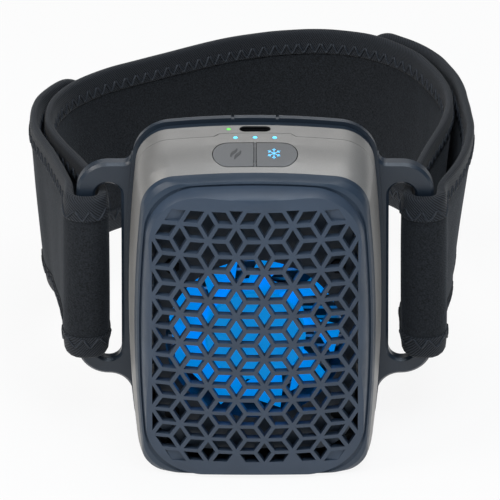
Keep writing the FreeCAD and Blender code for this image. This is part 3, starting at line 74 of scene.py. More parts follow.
class Surface:
    """A material with a few short ways to add procedural detail."""

    def __init__(self, name, color, roughness, metallic=0.0):
        self.material = bpy.data.materials.new(name)
        self.material.use_nodes = True
        self.tree = self.material.node_tree
        self.shader = self.tree.nodes["Principled BSDF"]
        self.color = color
        self.shader.inputs["Base Color"].default_value = (*color, 1)
        self.shader.inputs["Roughness"].default_value = roughness
        self.shader.inputs["Metallic"].default_value = metallic
        self.normal = None

    def node(self, kind, **settings):
        made = self.tree.nodes.new(kind)
        for name, value in settings.items():
            setattr(made, name, value)
        return made

    def link(self, output, target):
        self.tree.links.new(output, target)

    def where(self, output="Object"):
        return self.node("ShaderNodeTexCoord").outputs[output]

    def noise(self, scale, detail=2.0):
        """Noise with so many cells to the metre."""
        made = self.node("ShaderNodeTexNoise")
        made.inputs["Detail"].default_value = detail
        made.inputs["Scale"].default_value = scale
        self.link(self.where(), made.inputs["Vector"])
        return made.outputs["Fac"]

    def ribs(self, pitch, turn):
        """Ribs with a pitch in millimetres, turned on the piece's flat coordinates."""
        mapping = self.node("ShaderNodeMapping")
        scale = pi / 10 / (pitch * MM)
        mapping.inputs["Scale"].default_value = (scale, scale, scale)
        mapping.inputs["Rotation"].default_value = (0, 0, turn)
        self.link(self.where("UV"), mapping.inputs["Vector"])
        made = self.node("ShaderNodeTexWave", wave_type="BANDS", bands_direction="X")
        made.inputs["Scale"].default_value = 1.0
        self.link(mapping.outputs["Vector"], made.inputs["Vector"])
        return made.outputs["Fac"]

    def ramp(self, source, low, high, start=NOISE_LOW, stop=NOISE_HIGH):
        """Value that runs from low to high while the source runs from start to stop."""
        made = self.node("ShaderNodeMapRange")
        self.link(source, made.inputs["Value"])
        made.inputs["From Min"].default_value = start
        made.inputs["From Max"].default_value = stop
        made.inputs["To Min"].default_value = low
        made.inputs["To Max"].default_value = high
        return made.outputs["Result"]

    def tint(self, source, dark, light, start=NOISE_LOW, stop=NOISE_HIGH):
        """Base colour that runs between two shares of the main colour."""
        made = self.node("ShaderNodeMix", data_type="RGBA")
        self.link(self.ramp(source, 0, 1, start, stop), made.inputs["Factor"])
        sockets = [socket for socket in made.inputs if socket.name in "AB" and socket.type == "RGBA"]
        for socket, share in zip(sockets, (dark, light)):
            socket.default_value = (*[value * share for value in self.color], 1)
        result = [socket for socket in made.outputs if socket.type == "RGBA"][0]
        self.link(result, self.shader.inputs["Base Color"])

    def vary_roughness(self, source, low, high):
        self.link(self.ramp(source, low, high), self.shader.inputs["Roughness"])

    def bump(self, height, distance):
        """Relief over what relief there is already; the distance is in millimetres."""
        made = self.node("ShaderNodeBump")
        made.inputs["Distance"].default_value = distance * MM
        self.link(height, made.inputs["Height"])
        if self.normal:
            self.link(self.normal, made.inputs["Normal"])
        self.normal = made.outputs["Normal"]
        self.link(self.normal, self.shader.inputs["Normal"])

    def gloss(self, level):
        self.shader.inputs["Specular IOR Level"].default_value = level

    def glow(self, color, strength):
        self.shader.inputs["Emission Color"].default_value = (*color, 1)
        self.shader.inputs["Emission Strength"].default_value = strength


def moulded(name, color, roughness, grain=0.02, gloss=0.5):
    """Fine-grained moulded plastic with a little unevenness in colour and gloss."""
    surface = Surface(name, color, roughness)
    surface.gloss(gloss)
    patches = surface.noise(60)
    handling = surface.noise(300, 3)
    texture = surface.noise(9000)
    surface.tint(patches, 1 - TONE_SPREAD, 1 + TONE_SPREAD)
    surface.vary_roughness(handling, roughness * (1 - GLOSS_SPREAD), roughness * (1 + GLOSS_SPREAD))
    surface.bump(texture, grain)
    return surface.material


def silver_paint():
    """Satin metallic paint: fine flakes under a soft gloss."""
    surface = Surface("silver_paint", (0.285, 0.278, 0.268), 0.45, 0.32)
    flakes = surface.noise(14000, 1)
    handling = surface.noise(220, 3)
    surface.tint(flakes, 0.86, 1.14)
    surface.vary_roughness(handling, 0.41, 0.49)
    surface.bump(flakes, 0.006)
    return surface.material


def metal(name, color, roughness):
    """Bare metal with a little unevenness in tone and a fine grain."""
    surface = Surface(name, color, roughness, 1.0)
    patches = surface.noise(400)
    grain = surface.noise(6000)
    surface.tint(patches, 0.92, 1.05)
    surface.bump(grain, 0.01)
    return surface.material


def fan_blue():
    """Blue plastic with the light of the lamps inside painted on as a glow."""
    surface = Surface("fan_blue", (0.0, 0.33, 0.9), 0.45)
    surface.gloss(0.25)
    patches = surface.noise(90)
    grain = surface.noise(5000)
    surface.tint(patches, 0.85, 1.1)
    surface.bump(grain, 0.01)
    # painted glow: the light of the lamps within, painted on the plastic as emission
    surface.glow((0.0, 0.31, 0.85), 0.55)
    return surface.material


def lit_sign(name, color, strength):
    """Lit print with a slightly uneven tone."""
    surface = Surface(name, color, 0.3)
    print_grain = surface.noise(900)
    surface.tint(print_grain, 0.96, 1.04)
    surface.glow(color, strength)
    return surface.material


def light_pipe(name, color, strength, above):
    """Clear plastic that is dark inside the case and shows its light above a height."""
    fade, unlit = 0.2, 0.06
    surface = Surface(name, color, 0.3)
    height = surface.node("ShaderNodeSeparateXYZ")
    surface.link(surface.where(), height.inputs["Vector"])
    lit = surface.ramp(height.outputs["Z"], 0, 1, above * MM, (above + fade) * MM)
    surface.tint(lit, unlit, 1.0, 0, 1)
    surface.glow(color, strength)
    surface.link(surface.ramp(lit, 0, strength, 0, 1), surface.shader.inputs["Emission Strength"])
    return surface.material


def cloth(name, color, roughness):
    """Dull cloth with a faint sheen."""
    surface = Surface(name, color, roughness)
    surface.shader.inputs["Sheen Weight"].default_value = 0.12
    surface.shader.inputs["Sheen Roughness"].default_value = 0.5
    surface.gloss(0.25)
    return surface


def neoprene():
    """Knitted face of the strap: fine mottled loops in slanting rows, over soft unevenness."""
    surface = cloth("neoprene", (0.0135, 0.0155, 0.0187), 0.85)
    surface.shader.inputs["Sheen Tint"].default_value = (0.6, 0.66, 0.74, 1)
    loops = surface.noise(2100, 4)
    dents = surface.noise(160, 4)
    rows = surface.ribs(0.62, radians(40))
    surface.tint(loops, 0.35, 1.9)
    surface.bump(dents, 0.2)
    surface.bump(rows, 0.03)
    surface.bump(loops, 0.12)
    return surface.material


def twill():
    """Edge binding with slanting ribs."""
    surface = cloth("twill", (0.021, 0.0245, 0.0305), 0.75)
    ribs = surface.ribs(0.56, radians(35))
    fibres = surface.noise(1500)
    surface.tint(ribs, 0.4, 1.6, 0.15, 0.85)
    surface.bump(fibres, 0.04)
    surface.bump(ribs, 0.1)
    return surface.material


def thread():
    """Sewing thread with its twist."""
    surface = Surface("thread", (0.021, 0.027, 0.037), 0.65)
    twist = surface.node("ShaderNodeTexWave", wave_type="BANDS", bands_direction="DIAGONAL")
    twist.inputs["Scale"].default_value = 900
    surface.link(surface.where(), twist.inputs["Vector"])
    surface.tint(twist.outputs["Fac"], 0.7, 1.3)
    surface.bump(twist.outputs["Fac"], 0.02)
    return surface.material


SILVER = silver_paint()
GRILLE = moulded("grille_plastic", (0.048, 0.070, 0.106), 0.42, gloss=0.4)
BEZEL = moulded("bezel_plastic", (0.029, 0.047, 0.074), 0.42, gloss=0.45)
KEY_GREY = moulded("key_grey", (0.16, 0.162, 0.165), 0.55, gloss=0.4)
CRADLE = moulded("cradle_plastic", (0.020, 0.031, 0.047), 0.36, gloss=0.5)
BLACK = moulded("black_plastic", (0.012, 0.017, 0.024), 0.5)
BAFFLE = moulded("baffle_plastic", (0.020, 0.035, 0.055), 0.5)
# blue of the fan, with the lamps' light painted on as a glow; the shaft gets it too
BLUE = fan_blue()
STEEL = metal("steel", (0.55, 0.55, 0.56), 0.32)
PORT = moulded("port_black", (0.008, 0.008, 0.009), 0.6, gloss=0.15)
ALUMINIUM = metal("aluminium", (0.62, 0.63, 0.64), 0.38)
BRONZE = metal("bronze", (0.5, 0.35, 0.16), 0.4)
FERRITE = moulded("ferrite", (0.06, 0.06, 0.06), 0.6)
CERAMIC = moulded("ceramic", (0.82, 0.82, 0.8), 0.3)
PAD = moulded("thermal_pad", (0.35, 0.4, 0.45), 0.8)
FOAM = moulded("foam", (0.05, 0.05, 0.055), 0.9, 0.1)
SLEEVE = moulded("cell_sleeve", (0.03, 0.16, 0.36), 0.35)
BOARD = moulded("solder_mask", (0.015, 0.1, 0.05), 0.35)
CYAN_LIGHT = light_pipe("cyan_light", (0.1, 0.6, 0.85), 0.9, 103.4)
GREEN_LIGHT = light_pipe("green_light", (0.13, 0.7, 0.09), 0.42, 103.0)
ICON_BLUE = lit_sign("icon_blue", (0.14, 0.6, 1.0), 1.0)
ICON_GREY = moulded("icon_grey", (0.075, 0.076, 0.078), 0.5)
NEOPRENE = neoprene()
TWILL = twill()
THREAD = thread()

NODE_MATERIALS = {
    SILVER: ["front_shell", "rear_shell"],
    BEZEL: ["front_bezel"],
    GRILLE: ["front_grille"],
    KEY_GREY: ["heat_key", "cold_key"],
    CRADLE: ["strap_cradle"],
    BAFFLE: ["fan_baffle"],
    BLACK: ["fan_frame", "battery_holder", "key_switches", "plate_gasket"],
    BLUE: ["fan_impeller", "fan_shaft"],
    STEEL: ["fan_stator", "temperature_sensor", "heat_sink_screws"],
    PORT: ["charging_socket", "case_screws", "fan_screws"],
    ALUMINIUM: ["contact_plate", "heat_sink"],
    BRONZE: ["fan_bearing"],
    FERRITE: ["fan_magnet"],
    CERAMIC: ["thermoelectric_module", "lamps"],
    PAD: ["thermal_pads"],
    FOAM: ["foam_insulator"],
    SLEEVE: ["battery_cell"],
    BOARD: ["main_board"],
    CYAN_LIGHT: ["level_light_pipes"],
    GREEN_LIGHT: ["charge_light_pipe"],
}

# ---------------------------------------------------------------- solids of the frame
EDGE_WIDTHS = {
    "front_shell": 0.25,
    "rear_shell": 0.25,
    "front_bezel": 0.3,
    "front_grille": 0.18,
    "heat_key": 0.3,
    "cold_key": 0.3,
    "strap_cradle": 0.35,
    "contact_plate": 0.3,
    "fan_impeller": 0.12,
}
CREASE = radians(24)            # edges that turn by more than this stay sharp or get rounded
FLAT_ENOUGH = radians(0.3)      # faces that turn by less than this become one
WELD_REACH = 0.002


def dress(name, material):
    """Give a node of the frame its material and smooth curves, and fine rounded edges where it has an edge
    width.
    """
    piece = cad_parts[name]
    for slot in piece.material_slots:
        slot.material = material
    for face in piece.data.polygons:
        face.use_smooth = True
    weld = piece.modifiers.new("weld", "WELD")
    weld.merge_threshold = WELD_REACH * MM
    flat = piece.modifiers.new("flat", "DECIMATE")
    flat.decimate_type = "DISSOLVE"
    flat.angle_limit = FLAT_ENOUGH
    if name in EDGE_WIDTHS:
        bevel = piece.modifiers.new("edges", "BEVEL")
        bevel.width = EDGE_WIDTHS[name] * MM
        bevel.segments = 2
        bevel.limit_method = "ANGLE"
        bevel.angle_limit = CREASE
    else:
        split = piece.modifiers.new("split", "EDGE_SPLIT")
        split.split_angle = CREASE
    normals = piece.modifiers.new("normals", "WEIGHTED_NORMAL")
    normals.keep_sharp = True


for material, names in NODE_MATERIALS.items():
    for name in names:
        dress(name, material)

# ---------------------------------------------------------------- top of the case
# Lengths are in millimetres from here on, up to the points that make a mesh.
BODY_HEIGHT = 104.3
TOP_CROWN = 300.0               # radius across the case
TOP_ROLL = 22.0                 # radius towards the front
KEY_TILT = radians(20)
KEY_CENTRE_Y = -TOP_ROLL * sin(KEY_TILT)
ICON_PROUD = 0.05
ICON_TOP = 0.8                  # share of a stroke's width that its flat top takes
TAPER_POWER = 1.5               # how late a tapered stroke thins
SNOW_X = 5.6
HEAT_X = -5.7
WEB_X = 6.6                     # the middle of a slit beside the snap tab
WEB_HALF_WIDTH = 0.445
WEB_FRONT, WEB_STEP, WEB_BACK = 8.02, 10.52, 12.1       # the web's profile is a step: its places in y
WEB_FOOT, WEB_LEDGE, WEB_TOP = 102.4, 103.68, 104.7     # and its heights
PORT_Y = 5.3
PORT_WIDTH = 9.3
PORT_HEIGHT = 3.5
PORT_RECESS = 0.9               # from the outside of the case down to the socket
LINER_WALL = 0.24
LINER_GAP = 0.02                # between the liner and the wall of its slot
LINER_SUNK = 0.06
LINER_STEPS = 32
RIB_WIDTH = 0.56
RIB_SUNK = 0.12                 # how far its top lies under the keys' tops
RIB_DEPTH = 1.0
RIB_HALF_LENGTH = 5.05
RIB_STEPS = 12


def top_place(x, y, proud):
    """Point over the rolled and crowned top of the case, in millimetres."""
    roll = TOP_ROLL - sqrt(TOP_ROLL ** 2 - min(y, 0) ** 2)
    crown = TOP_CROWN - sqrt(TOP_CROWN ** 2 - x ** 2)
    normal = Vector((x / TOP_CROWN, min(y, 0) / TOP_ROLL, 1)).normalized()
    return Vector((x, y, BODY_HEIGHT - roll - crown)) + normal * proud


def mesh_piece(name, build, material, body):
    """New object from a bmesh that a function fills, riding on a body."""
    made = bmesh.new()
    build(made)
    bmesh.ops.recalc_face_normals(made, faces=made.faces)
    data = bpy.data.meshes.new(name)
    made.to_mesh(data)
    made.free()
    for face in data.polygons:
        face.use_smooth = True
    data.materials.append(material)
    piece = bpy.data.objects.new(name, data)
    bpy.context.scene.collection.objects.link(piece)
    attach(piece, body)
    return piece


def bridge(made, before, after, closed=True):
    """Faces between two rows of vertices; closed joins the last of a row to its first."""
    count = len(before)
    faces = []
    for corner in range(count if closed else count - 1):
        following = (corner + 1) % count
        faces.append(made.faces.new((before[corner], before[following], after[following], after[corner])))
    return faces


def left_of(direction):
    """The direction turned a quarter to the left."""
    return Vector((-direction.y, direction.x))


def stroke(made, points, width, centre_x, taper=0.0):
    """Thin raised ribbon over the top of the case along points given in the key's plane."""
    rows = []
    for index, point in enumerate(points):
        before = points[max(index - 1, 0)]
        after = points[min(index + 1, len(points) - 1)]
        along = (after - before).normalized()
        from_middle = abs(2 * index / (len(points) - 1) - 1)
        across = left_of(along) * width * (1 - taper * from_middle ** TAPER_POWER) / 2
        row = []
        for proud, shift in ((0, 1), (ICON_PROUD, ICON_TOP), (ICON_PROUD, -ICON_TOP), (0, -1)):
            place = point + across * shift
            spot = top_place(centre_x + place.x, KEY_CENTRE_Y + place.y * cos(KEY_TILT), proud)
            row.append(made.verts.new(spot * MM))
        rows.append(row)
    for before, after in zip(rows, rows[1:]):
        bridge(made, before, after, closed=False)
    made.faces.new(rows[0])
    made.faces.new(rows[-1])


def snowflake(made):
    """Generic sign for cold: six arms with two short branches each."""
    arms, arm, branch, width, steps = 6, 2.1, 0.68, 0.17, 4
    branch_start, branch_lean = 0.58, pi / 3.8
    for turn in range(arms):
        angle = (2 * turn + 1) * pi / arms
        along = Vector((cos(angle), sin(angle)))
        stroke(made, [along * (arm * step / steps) for step in range(steps + 1)], width, SNOW_X)
        for side in (-1, 1):
            lean = angle + side * branch_lean
            start = along * arm * branch_start
            stroke(made, [start, start + Vector((cos(lean), sin(lean))) * branch], width, SNOW_X)


def heat_waves(made):
    """Generic sign for heat: two slanting wavy strokes that thin out at their ends."""
    length, sway, width, taper, steps = 4.0, 0.22, 1.15, 0.9, 16
    slant, apart = radians(64), Vector((0.57, -0.45))
    along = Vector((cos(slant), sin(slant)))
    for side in (-1, 1):
        centre = side * apart
        points = []
        for step in range(steps + 1):
            share = step / steps
            aside = left_of(along) * sway * sin(2 * pi * share)
            points.append(centre + along * length * (share - 0.5) + aside)
        stroke(made, points, width, HEAT_X, taper)


def key_rib(made):
    """Rib of the case between the two keys."""
    rows = []
    for step in range(RIB_STEPS + 1):
        y = KEY_CENTRE_Y + RIB_HALF_LENGTH * (2 * step / RIB_STEPS - 1) * cos(KEY_TILT)
        row = []
        for side, proud in ((-1, -RIB_DEPTH), (-1, -RIB_SUNK), (1, -RIB_SUNK), (1, -RIB_DEPTH)):
            row.append(made.verts.new(top_place(side * RIB_WIDTH / 2, y, proud) * MM))
        rows.append(row)
    for before, after in zip(rows, rows[1:]):
        bridge(made, before, after)
    made.faces.new(rows[0])
    made.faces.new(rows[-1])


def port_liner(made):
    """Black liner of the charging slot: from the socket to just under the outside of the case."""
    straight = (PORT_WIDTH - PORT_HEIGHT) / 2
    low, high = BODY_HEIGHT - PORT_RECESS, BODY_HEIGHT - LINER_SUNK
    rings = []
    for inset, level in ((LINER_GAP, low), (LINER_GAP, high), (LINER_WALL, high), (LINER_WALL, low)):
        reach = PORT_HEIGHT / 2 - inset
        ring = []
        for step in range(LINER_STEPS):
            turn = 2 * pi * (step + 0.5) / LINER_STEPS
            x = (straight if cos(turn) > 0 else -straight) + reach * cos(turn)
            ring.append(made.verts.new(Vector((x, PORT_Y + reach * sin(turn), level)) * MM))
        rings.append(ring)
    for before, after in zip(rings, rings[1:] + rings[:1]):
        bridge(made, before, after)


def tab_web(side):
    """Thin web that closes a slit beside the cradle's snap tab and leaves a notch at its top."""
    profile = ((WEB_FRONT, WEB_FOOT), (WEB_FRONT, WEB_LEDGE), (WEB_STEP, WEB_LEDGE),
               (WEB_STEP, WEB_TOP), (WEB_BACK, WEB_TOP), (WEB_BACK, WEB_FOOT))

    def build(made):
        ends = []
        for shift in (-WEB_HALF_WIDTH, WEB_HALF_WIDTH):
            x = side * WEB_X + shift
            ends.append([made.verts.new(Vector((x, y, z)) * MM) for y, z in profile])
            made.faces.new(ends[-1])
        bridge(made, *ends)
    return build


for side, name in ((-1, "tab_web_left"), (1, "tab_web_right")):
    web = mesh_piece(name, tab_web(side), CRADLE, "cradle")
    web.data.shade_flat()
mesh_piece("cold_icon", snowflake, ICON_BLUE, "cold_key")
mesh_piece("heat_icon", heat_waves, ICON_GREY, "heat_key")
mesh_piece("port_liner", port_liner, PORT, "unit")
mesh_piece("key_rib", key_rib, KEY_GREY, "unit")

# ---------------------------------------------------------------- strap
# The strap follows the same route as its solid: from one end over the loop, round the bar of an
# ear, round the limb, round the other bar and back on the loop's outside.
STRAP_LOW = 24.7
STRAP_HIGH = 79.3
BAND_THICKNESS = 2.5
BAND_SWELL = 0.12               # how far the band's face stands out between the bindings
BINDING_THICKNESS = 0.36
BINDING_SUNK = 0.1              # how deep its inner edges are pressed into the band
RIM_HALF = 1.1                  # half of the strap's thickness at its very edge
RIM_POWER = 0.8                 # under 1, so that it thickens soon behind the edge
BINDING_WIDTH = 7.6
SLOT_OUTER = 47.5
EAR_REACH = 53.0
EAR_FRONT = 13.0
EAR_BACK = 16.5
LIE = 2.15                      # from the bar of an ear to the strap's middle
LAP = 4.5                       # from the middle of the loop to the middle of an end that lies on it
TIGHT_TURN = 1.2                # a corner that turns by more, in radians, goes round a bar
CORNER_STEPS = 12
LEFT_LAP = 0.85                 # share of the loop's run on which each end stops
RIGHT_LAP = 0.4
INNER = SLOT_OUTER - LIE
OUTER = EAR_REACH + LIE
BEHIND = EAR_BACK + LIE
BAR_FRONT = EAR_FRONT - LIE
LOOP_HALF_WIDTH = 62.0
LOOP_DEPTH = 116.6
# Corners of the loop from left to right, as shares of its half width and its depth; then those
# of the two ends, where they run between the ears and the loop.
LOOP_SHAPE = ((-0.82, 0.27), (-0.925, 0.38), (-0.995, 0.475), (-1.0, 0.575), (-0.92, 0.68), (-0.76, 0.765),
              (-0.465, 0.855), (-0.16, 0.943), (0.095, 0.988), (0.355, 1.0), (0.6, 0.96), (0.8, 0.862),
              (0.92, 0.72), (0.945, 0.592), (0.9, 0.467), (0.81, 0.322))
LEFT_END_SHAPE = ((-0.935, 0.26),)
RIGHT_END_SHAPE = ((0.97, 0.26), (1.025, 0.365), (1.04, 0.476))
LOOP_TAPER = 0.07               # the lower edge of the loop is this much narrower
TAPER_START = 22.0
TAPER_FULL = 48.0
NECK = 0.055                    # how much the right side draws in at its lower edge behind the bar
NECK_RISE = (15.0, 26.0)        # between these places in y it grows
NECK_FALL = (42.0, 80.0)        # and between these it fades
BAR_REACH = 4.9                 # how far the strap's turns round a bar reach along their runs
SAMPLE_STEP = 1.2               # distance between sections of the strap
FOLD_DEPTH = 0.4
BROAD_FOLDS = (0.035, 0.03, 2.0)    # cells to the millimetre along and up, and the layer of the noise
FINE_FOLDS = (0.11, 0.05, 7.0)
FINE_SHARE = 0.5
CALM_REACH = 16.0               # towards a bar the folds fade over this distance
PUFF = 1.7                      # how far the strap bulges in front of a bar
PUFF_REACH = 11.0
PUFF_FADE = 0.35                # share of it that is lost at the strap's edges
EDGE_RISE = 0.9                 # how far the upper edge draws in where the strap turns round a bar
SIDE_RISE = 3.4                 # how far the lower edge is drawn up beside a bar
SIDE_START, SIDE_FULL, SIDE_END = 2.0, 12.0, 52.0
END_CORNER = 11.0               # radius of the corners of the strap's two ends
END_TUCK = 1.6                  # how much closer to the loop its tips lie
TUCK_REACH = 24.0


def lapped(points, distance):
    """Corner points of the same route moved to its outside."""
    moved = []
    for before, here, after in zip(points, points[1:], points[2:]):
        a = (Vector(here) - Vector(before)).normalized()
        b = (Vector(after) - Vector(here)).normalized()
        middle = (left_of(a) + left_of(b)).normalized()
        moved.append(tuple(Vector(here) + middle * (distance / middle.dot(left_of(a)))))
    return moved


def loop_places(shape):
    """Places for corners given as shares of the loop."""
    return [(across * LOOP_HALF_WIDTH, back * LOOP_DEPTH) for across, back in shape]


def strap_corners():
    """Corners of the whole route: left end, left bar, loop, right bar, right end."""
    loop = [(-INNER, BEHIND)] + loop_places(LOOP_SHAPE) + [(INNER, BEHIND)]
    outside = lapped(loop, LAP)
    left_last, right_last, right_first = 4, 10, 13
    start = Vector(outside[left_last]).lerp(Vector(outside[left_last + 1]), LEFT_LAP)
    stop = Vector(outside[right_last]).lerp(Vector(outside[right_last - 1]), RIGHT_LAP)
    left_end = [start] + outside[left_last:0:-1] + loop_places(LEFT_END_SHAPE) + [(-OUTER, BEHIND)]
    right_end = [(OUTER, BEHIND)] + loop_places(RIGHT_END_SHAPE)
    right_end += outside[right_first:right_last - 1:-1] + [stop]
    left_turn = [(-OUTER, BAR_FRONT), (-INNER, BAR_FRONT)]
    right_turn = [(INNER, BAR_FRONT), (OUTER, BAR_FRONT)]
    return [Vector(corner) for corner in left_end + left_turn + loop + right_turn + right_end]


def rounded_route(corners):
    """Dense points of the route: every corner rounded from the middle of one run to the next."""
    points = [corners[0]]
    for before, here, after in zip(corners, corners[1:], corners[2:]):
        a, b = here - before, after - here
        turn = a.angle(b)
        reach = 0.5 * min(a.length, b.length)
        if turn > TIGHT_TURN:
            reach = min(reach, BAR_REACH)
        start, stop = here - a.normalized() * reach, here + b.normalized() * reach
        for step in range(CORNER_STEPS + 1):
            share = step / CORNER_STEPS
            points.append(start.lerp(here, share).lerp(here.lerp(stop, share), share))
    return points + [corners[-1]]


def evenly(points, step):
    """The same line with points a step apart."""
    lengths = [0.0]
    for before, after in zip(points, points[1:]):
        lengths.append(lengths[-1] + (after - before).length)
    count = ceil(lengths[-1] / step)
    spaced, index = [], 0
    for number in range(count + 1):
        goal = lengths[-1] * number / count
        while index < len(lengths) - 2 and lengths[index + 1] < goal:
            index += 1
        span = lengths[index + 1] - lengths[index]
        share = (goal - lengths[index]) / span if span else 0
        spaced.append(points[index].lerp(points[index + 1], share))
    return spaced, lengths[-1]


ROUTE, STRAP_LENGTH = evenly(rounded_route(strap_corners()), SAMPLE_STEP)
SPACING = STRAP_LENGTH / (len(ROUTE) - 1)


def outward(index):
    """Unit vector to the outside of the route at a point."""
    before = ROUTE[max(index - 1, 0)]
    after = ROUTE[min(index + 1, len(ROUTE) - 1)]
    return left_of((after - before).normalized())


def clamped(value):
    return min(max(value, 0), 1)


def smooth(value):
    """Smooth step from 0 to 1 while the value runs from 0 to 1."""
    value = clamped(value)
    return value * value * (3 - 2 * value)


def smooth_between(value, limits):
    """Smooth step from 0 to 1 while the value runs between two limits."""
    return smooth((value - limits[0]) / (limits[1] - limits[0]))


def bar_distance(index):
    """How far a point of the route is from the front of the nearer bar."""
    fronts = [Vector((side * (OUTER + INNER) / 2, BAR_FRONT)) for side in (-1, 1)]
    return min((ROUTE[index] - front).length for front in fronts)


def near_bar(index, reach):
    """1 in front of a bar, 0 further from it than a reach."""
    return smooth(1 - bar_distance(index) / reach)


def drawn_up(index):
    """How far the lower edge is drawn up beside a bar, so that it hangs in a U in front of it."""
    away = bar_distance(index)
    rise = smooth_between(away, (SIDE_START, SIDE_FULL))
    return SIDE_RISE * rise * (1 - smooth_between(away, (SIDE_FULL, SIDE_END)))


def folds(along, height):
    """Shallow uneven waves of the strap's face."""
    broad, fine = [noise.noise(Vector((along * run, height * rise, layer)))
                   for run, rise, layer in (BROAD_FOLDS, FINE_FOLDS)]
    return (broad + fine * FINE_SHARE) * FOLD_DEPTH


def strap_point(index, height, depth):
    """Place on the strap in metres: height over the foot, depth out from the middle line."""
    along = index * SPACING
    middle = (STRAP_HIGH + STRAP_LOW) / 2
    level = (height - middle) / (STRAP_HIGH - middle)
    from_end = min(along, STRAP_LENGTH - along)
    if from_end < END_CORNER:
        inset = END_CORNER - sqrt(END_CORNER ** 2 - (END_CORNER - from_end) ** 2)
        height -= level * inset
    shift = folds(along, height) * (1 - near_bar(index, CALM_REACH))
    shift += END_TUCK * smooth(1 - from_end / TUCK_REACH)
    puffed = near_bar(index, PUFF_REACH)
    if depth < 0:
        depth -= PUFF * puffed * (1 - PUFF_FADE * level ** 4)
    height -= EDGE_RISE * puffed * max(level, 0) ** 3
    height += drawn_up(index) * max(-level, 0) ** 2
    spot = ROUTE[index] + outward(index) * (depth + shift)
    fall = (STRAP_HIGH - height) / (STRAP_HIGH - STRAP_LOW)
    if spot.x > 0:
        neck = smooth_between(spot.y, NECK_RISE) * (1 - smooth_between(spot.y, NECK_FALL))
        spot.x *= 1 - NECK * fall * neck
    taper = LOOP_TAPER * clamped((spot.y - TAPER_START) / (TAPER_FULL - TAPER_START))
    return Vector((spot.x * (1 - taper * fall), spot.y, height)) * MM


def swept(section, name, material):
    """Closed section (height, depth) carried along the strap, with flat coordinates in metres."""
    def build(made):
        layer = made.loops.layers.uv.new("flat")
        rows = [[made.verts.new(strap_point(index, height, depth)) for height, depth in section]
                for index in range(len(ROUTE))]
        girth = [0.0]
        closed = section + section[:1]
        for a, b in zip(closed, closed[1:]):
            girth.append(girth[-1] + sqrt((a[0] - b[0]) ** 2 + (a[1] - b[1]) ** 2))
        for index, (before, after) in enumerate(zip(rows, rows[1:])):
            for corner, face in enumerate(bridge(made, before, after)):
                spots = ((index, corner), (index, corner + 1), (index + 1, corner + 1), (index + 1, corner))
                for loop, (row, column) in zip(face.loops, spots):
                    loop[layer].uv = (row * SPACING * MM, girth[column] * MM)
        made.faces.new(rows[0])
        made.faces.new(rows[-1])
    return mesh_piece(name, build, material, "cradle")


def face_depth(from_edge):
    """Depth of a binding's face: the strap thins towards its edge."""
    full = BAND_THICKNESS / 2 + BINDING_THICKNESS
    return RIM_HALF + (full - RIM_HALF) * min(from_edge / BINDING_WIDTH, 1) ** RIM_POWER


def band_section():
    """Section of the neoprene: full in the middle, thin where the bindings hold its edges."""
    stations = (BINDING_THICKNESS, 1.0, 2.5, 4.5, 6.5)
    side = [(from_edge, face_depth(from_edge) - BINDING_THICKNESS) for from_edge in stations]
    steps, clear = 7, BINDING_WIDTH + 0.6
    low, high = STRAP_LOW + clear, STRAP_HIGH - clear
    face = BAND_THICKNESS / 2 + BAND_SWELL
    outer = [(STRAP_LOW + from_edge, depth) for from_edge, depth in side]
    outer += [(low + (high - low) * step / steps, face) for step in range(steps + 1)]
    outer += [(STRAP_HIGH - from_edge, depth) for from_edge, depth in reversed(side)]
    return outer + [(height, -depth) for height, depth in reversed(outer)]


def binding_section(edge, inside):
    """U-shaped section of a binding round an edge of the band; inside is 1 where the band lies above."""
    stations = (BINDING_WIDTH - 0.12, BINDING_WIDTH - 0.5, 5.5, 4.0, 2.5, RIM_HALF)
    outer = [(BINDING_WIDTH, face_depth(BINDING_WIDTH) - BINDING_THICKNESS - BINDING_SUNK)]
    outer += [(from_edge, face_depth(from_edge)) for from_edge in stations]
    rounding, steps = [], 8
    for step in range(1, steps):
        turn = pi * step / steps
        rounding.append((RIM_HALF * (1 - sin(turn)), RIM_HALF * cos(turn)))
    other = [(from_edge, -depth) for from_edge, depth in reversed(outer)]
    core_edge, core_half = BINDING_THICKNESS + 0.3, RIM_HALF - BINDING_THICKNESS - 0.05
    hollow = [(core_edge, -core_half), (core_edge, core_half)]
    return [(edge + inside * away, depth) for away, depth in outer + rounding + other + hollow]


band = swept(band_section(), "neoprene_band", NEOPRENE)
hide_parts("strap_band", "hook_pad_left", "hook_pad_right")
lower = swept(binding_section(STRAP_LOW, 1), "binding_lower", TWILL)
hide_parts("strap_binding_lower")
upper = swept(binding_section(STRAP_HIGH, -1), "binding_upper", TWILL)
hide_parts("strap_binding_upper")

STITCH_PITCH = 3.6
STITCH_HEIGHT = 3.6
STITCH_INSET = 0.2              # from the binding's inner edge to the stitches
STITCH_SHARES = (0.06, 0.35, 0.65, 0.94)    # places along one leg of the zigzag
STITCH_PROUD = 0.16
STITCH_SINK = 0.12              # how much deeper a leg's two ends lie
THREAD_RADIUS = 0.42
THREAD_FLATNESS = 0.7


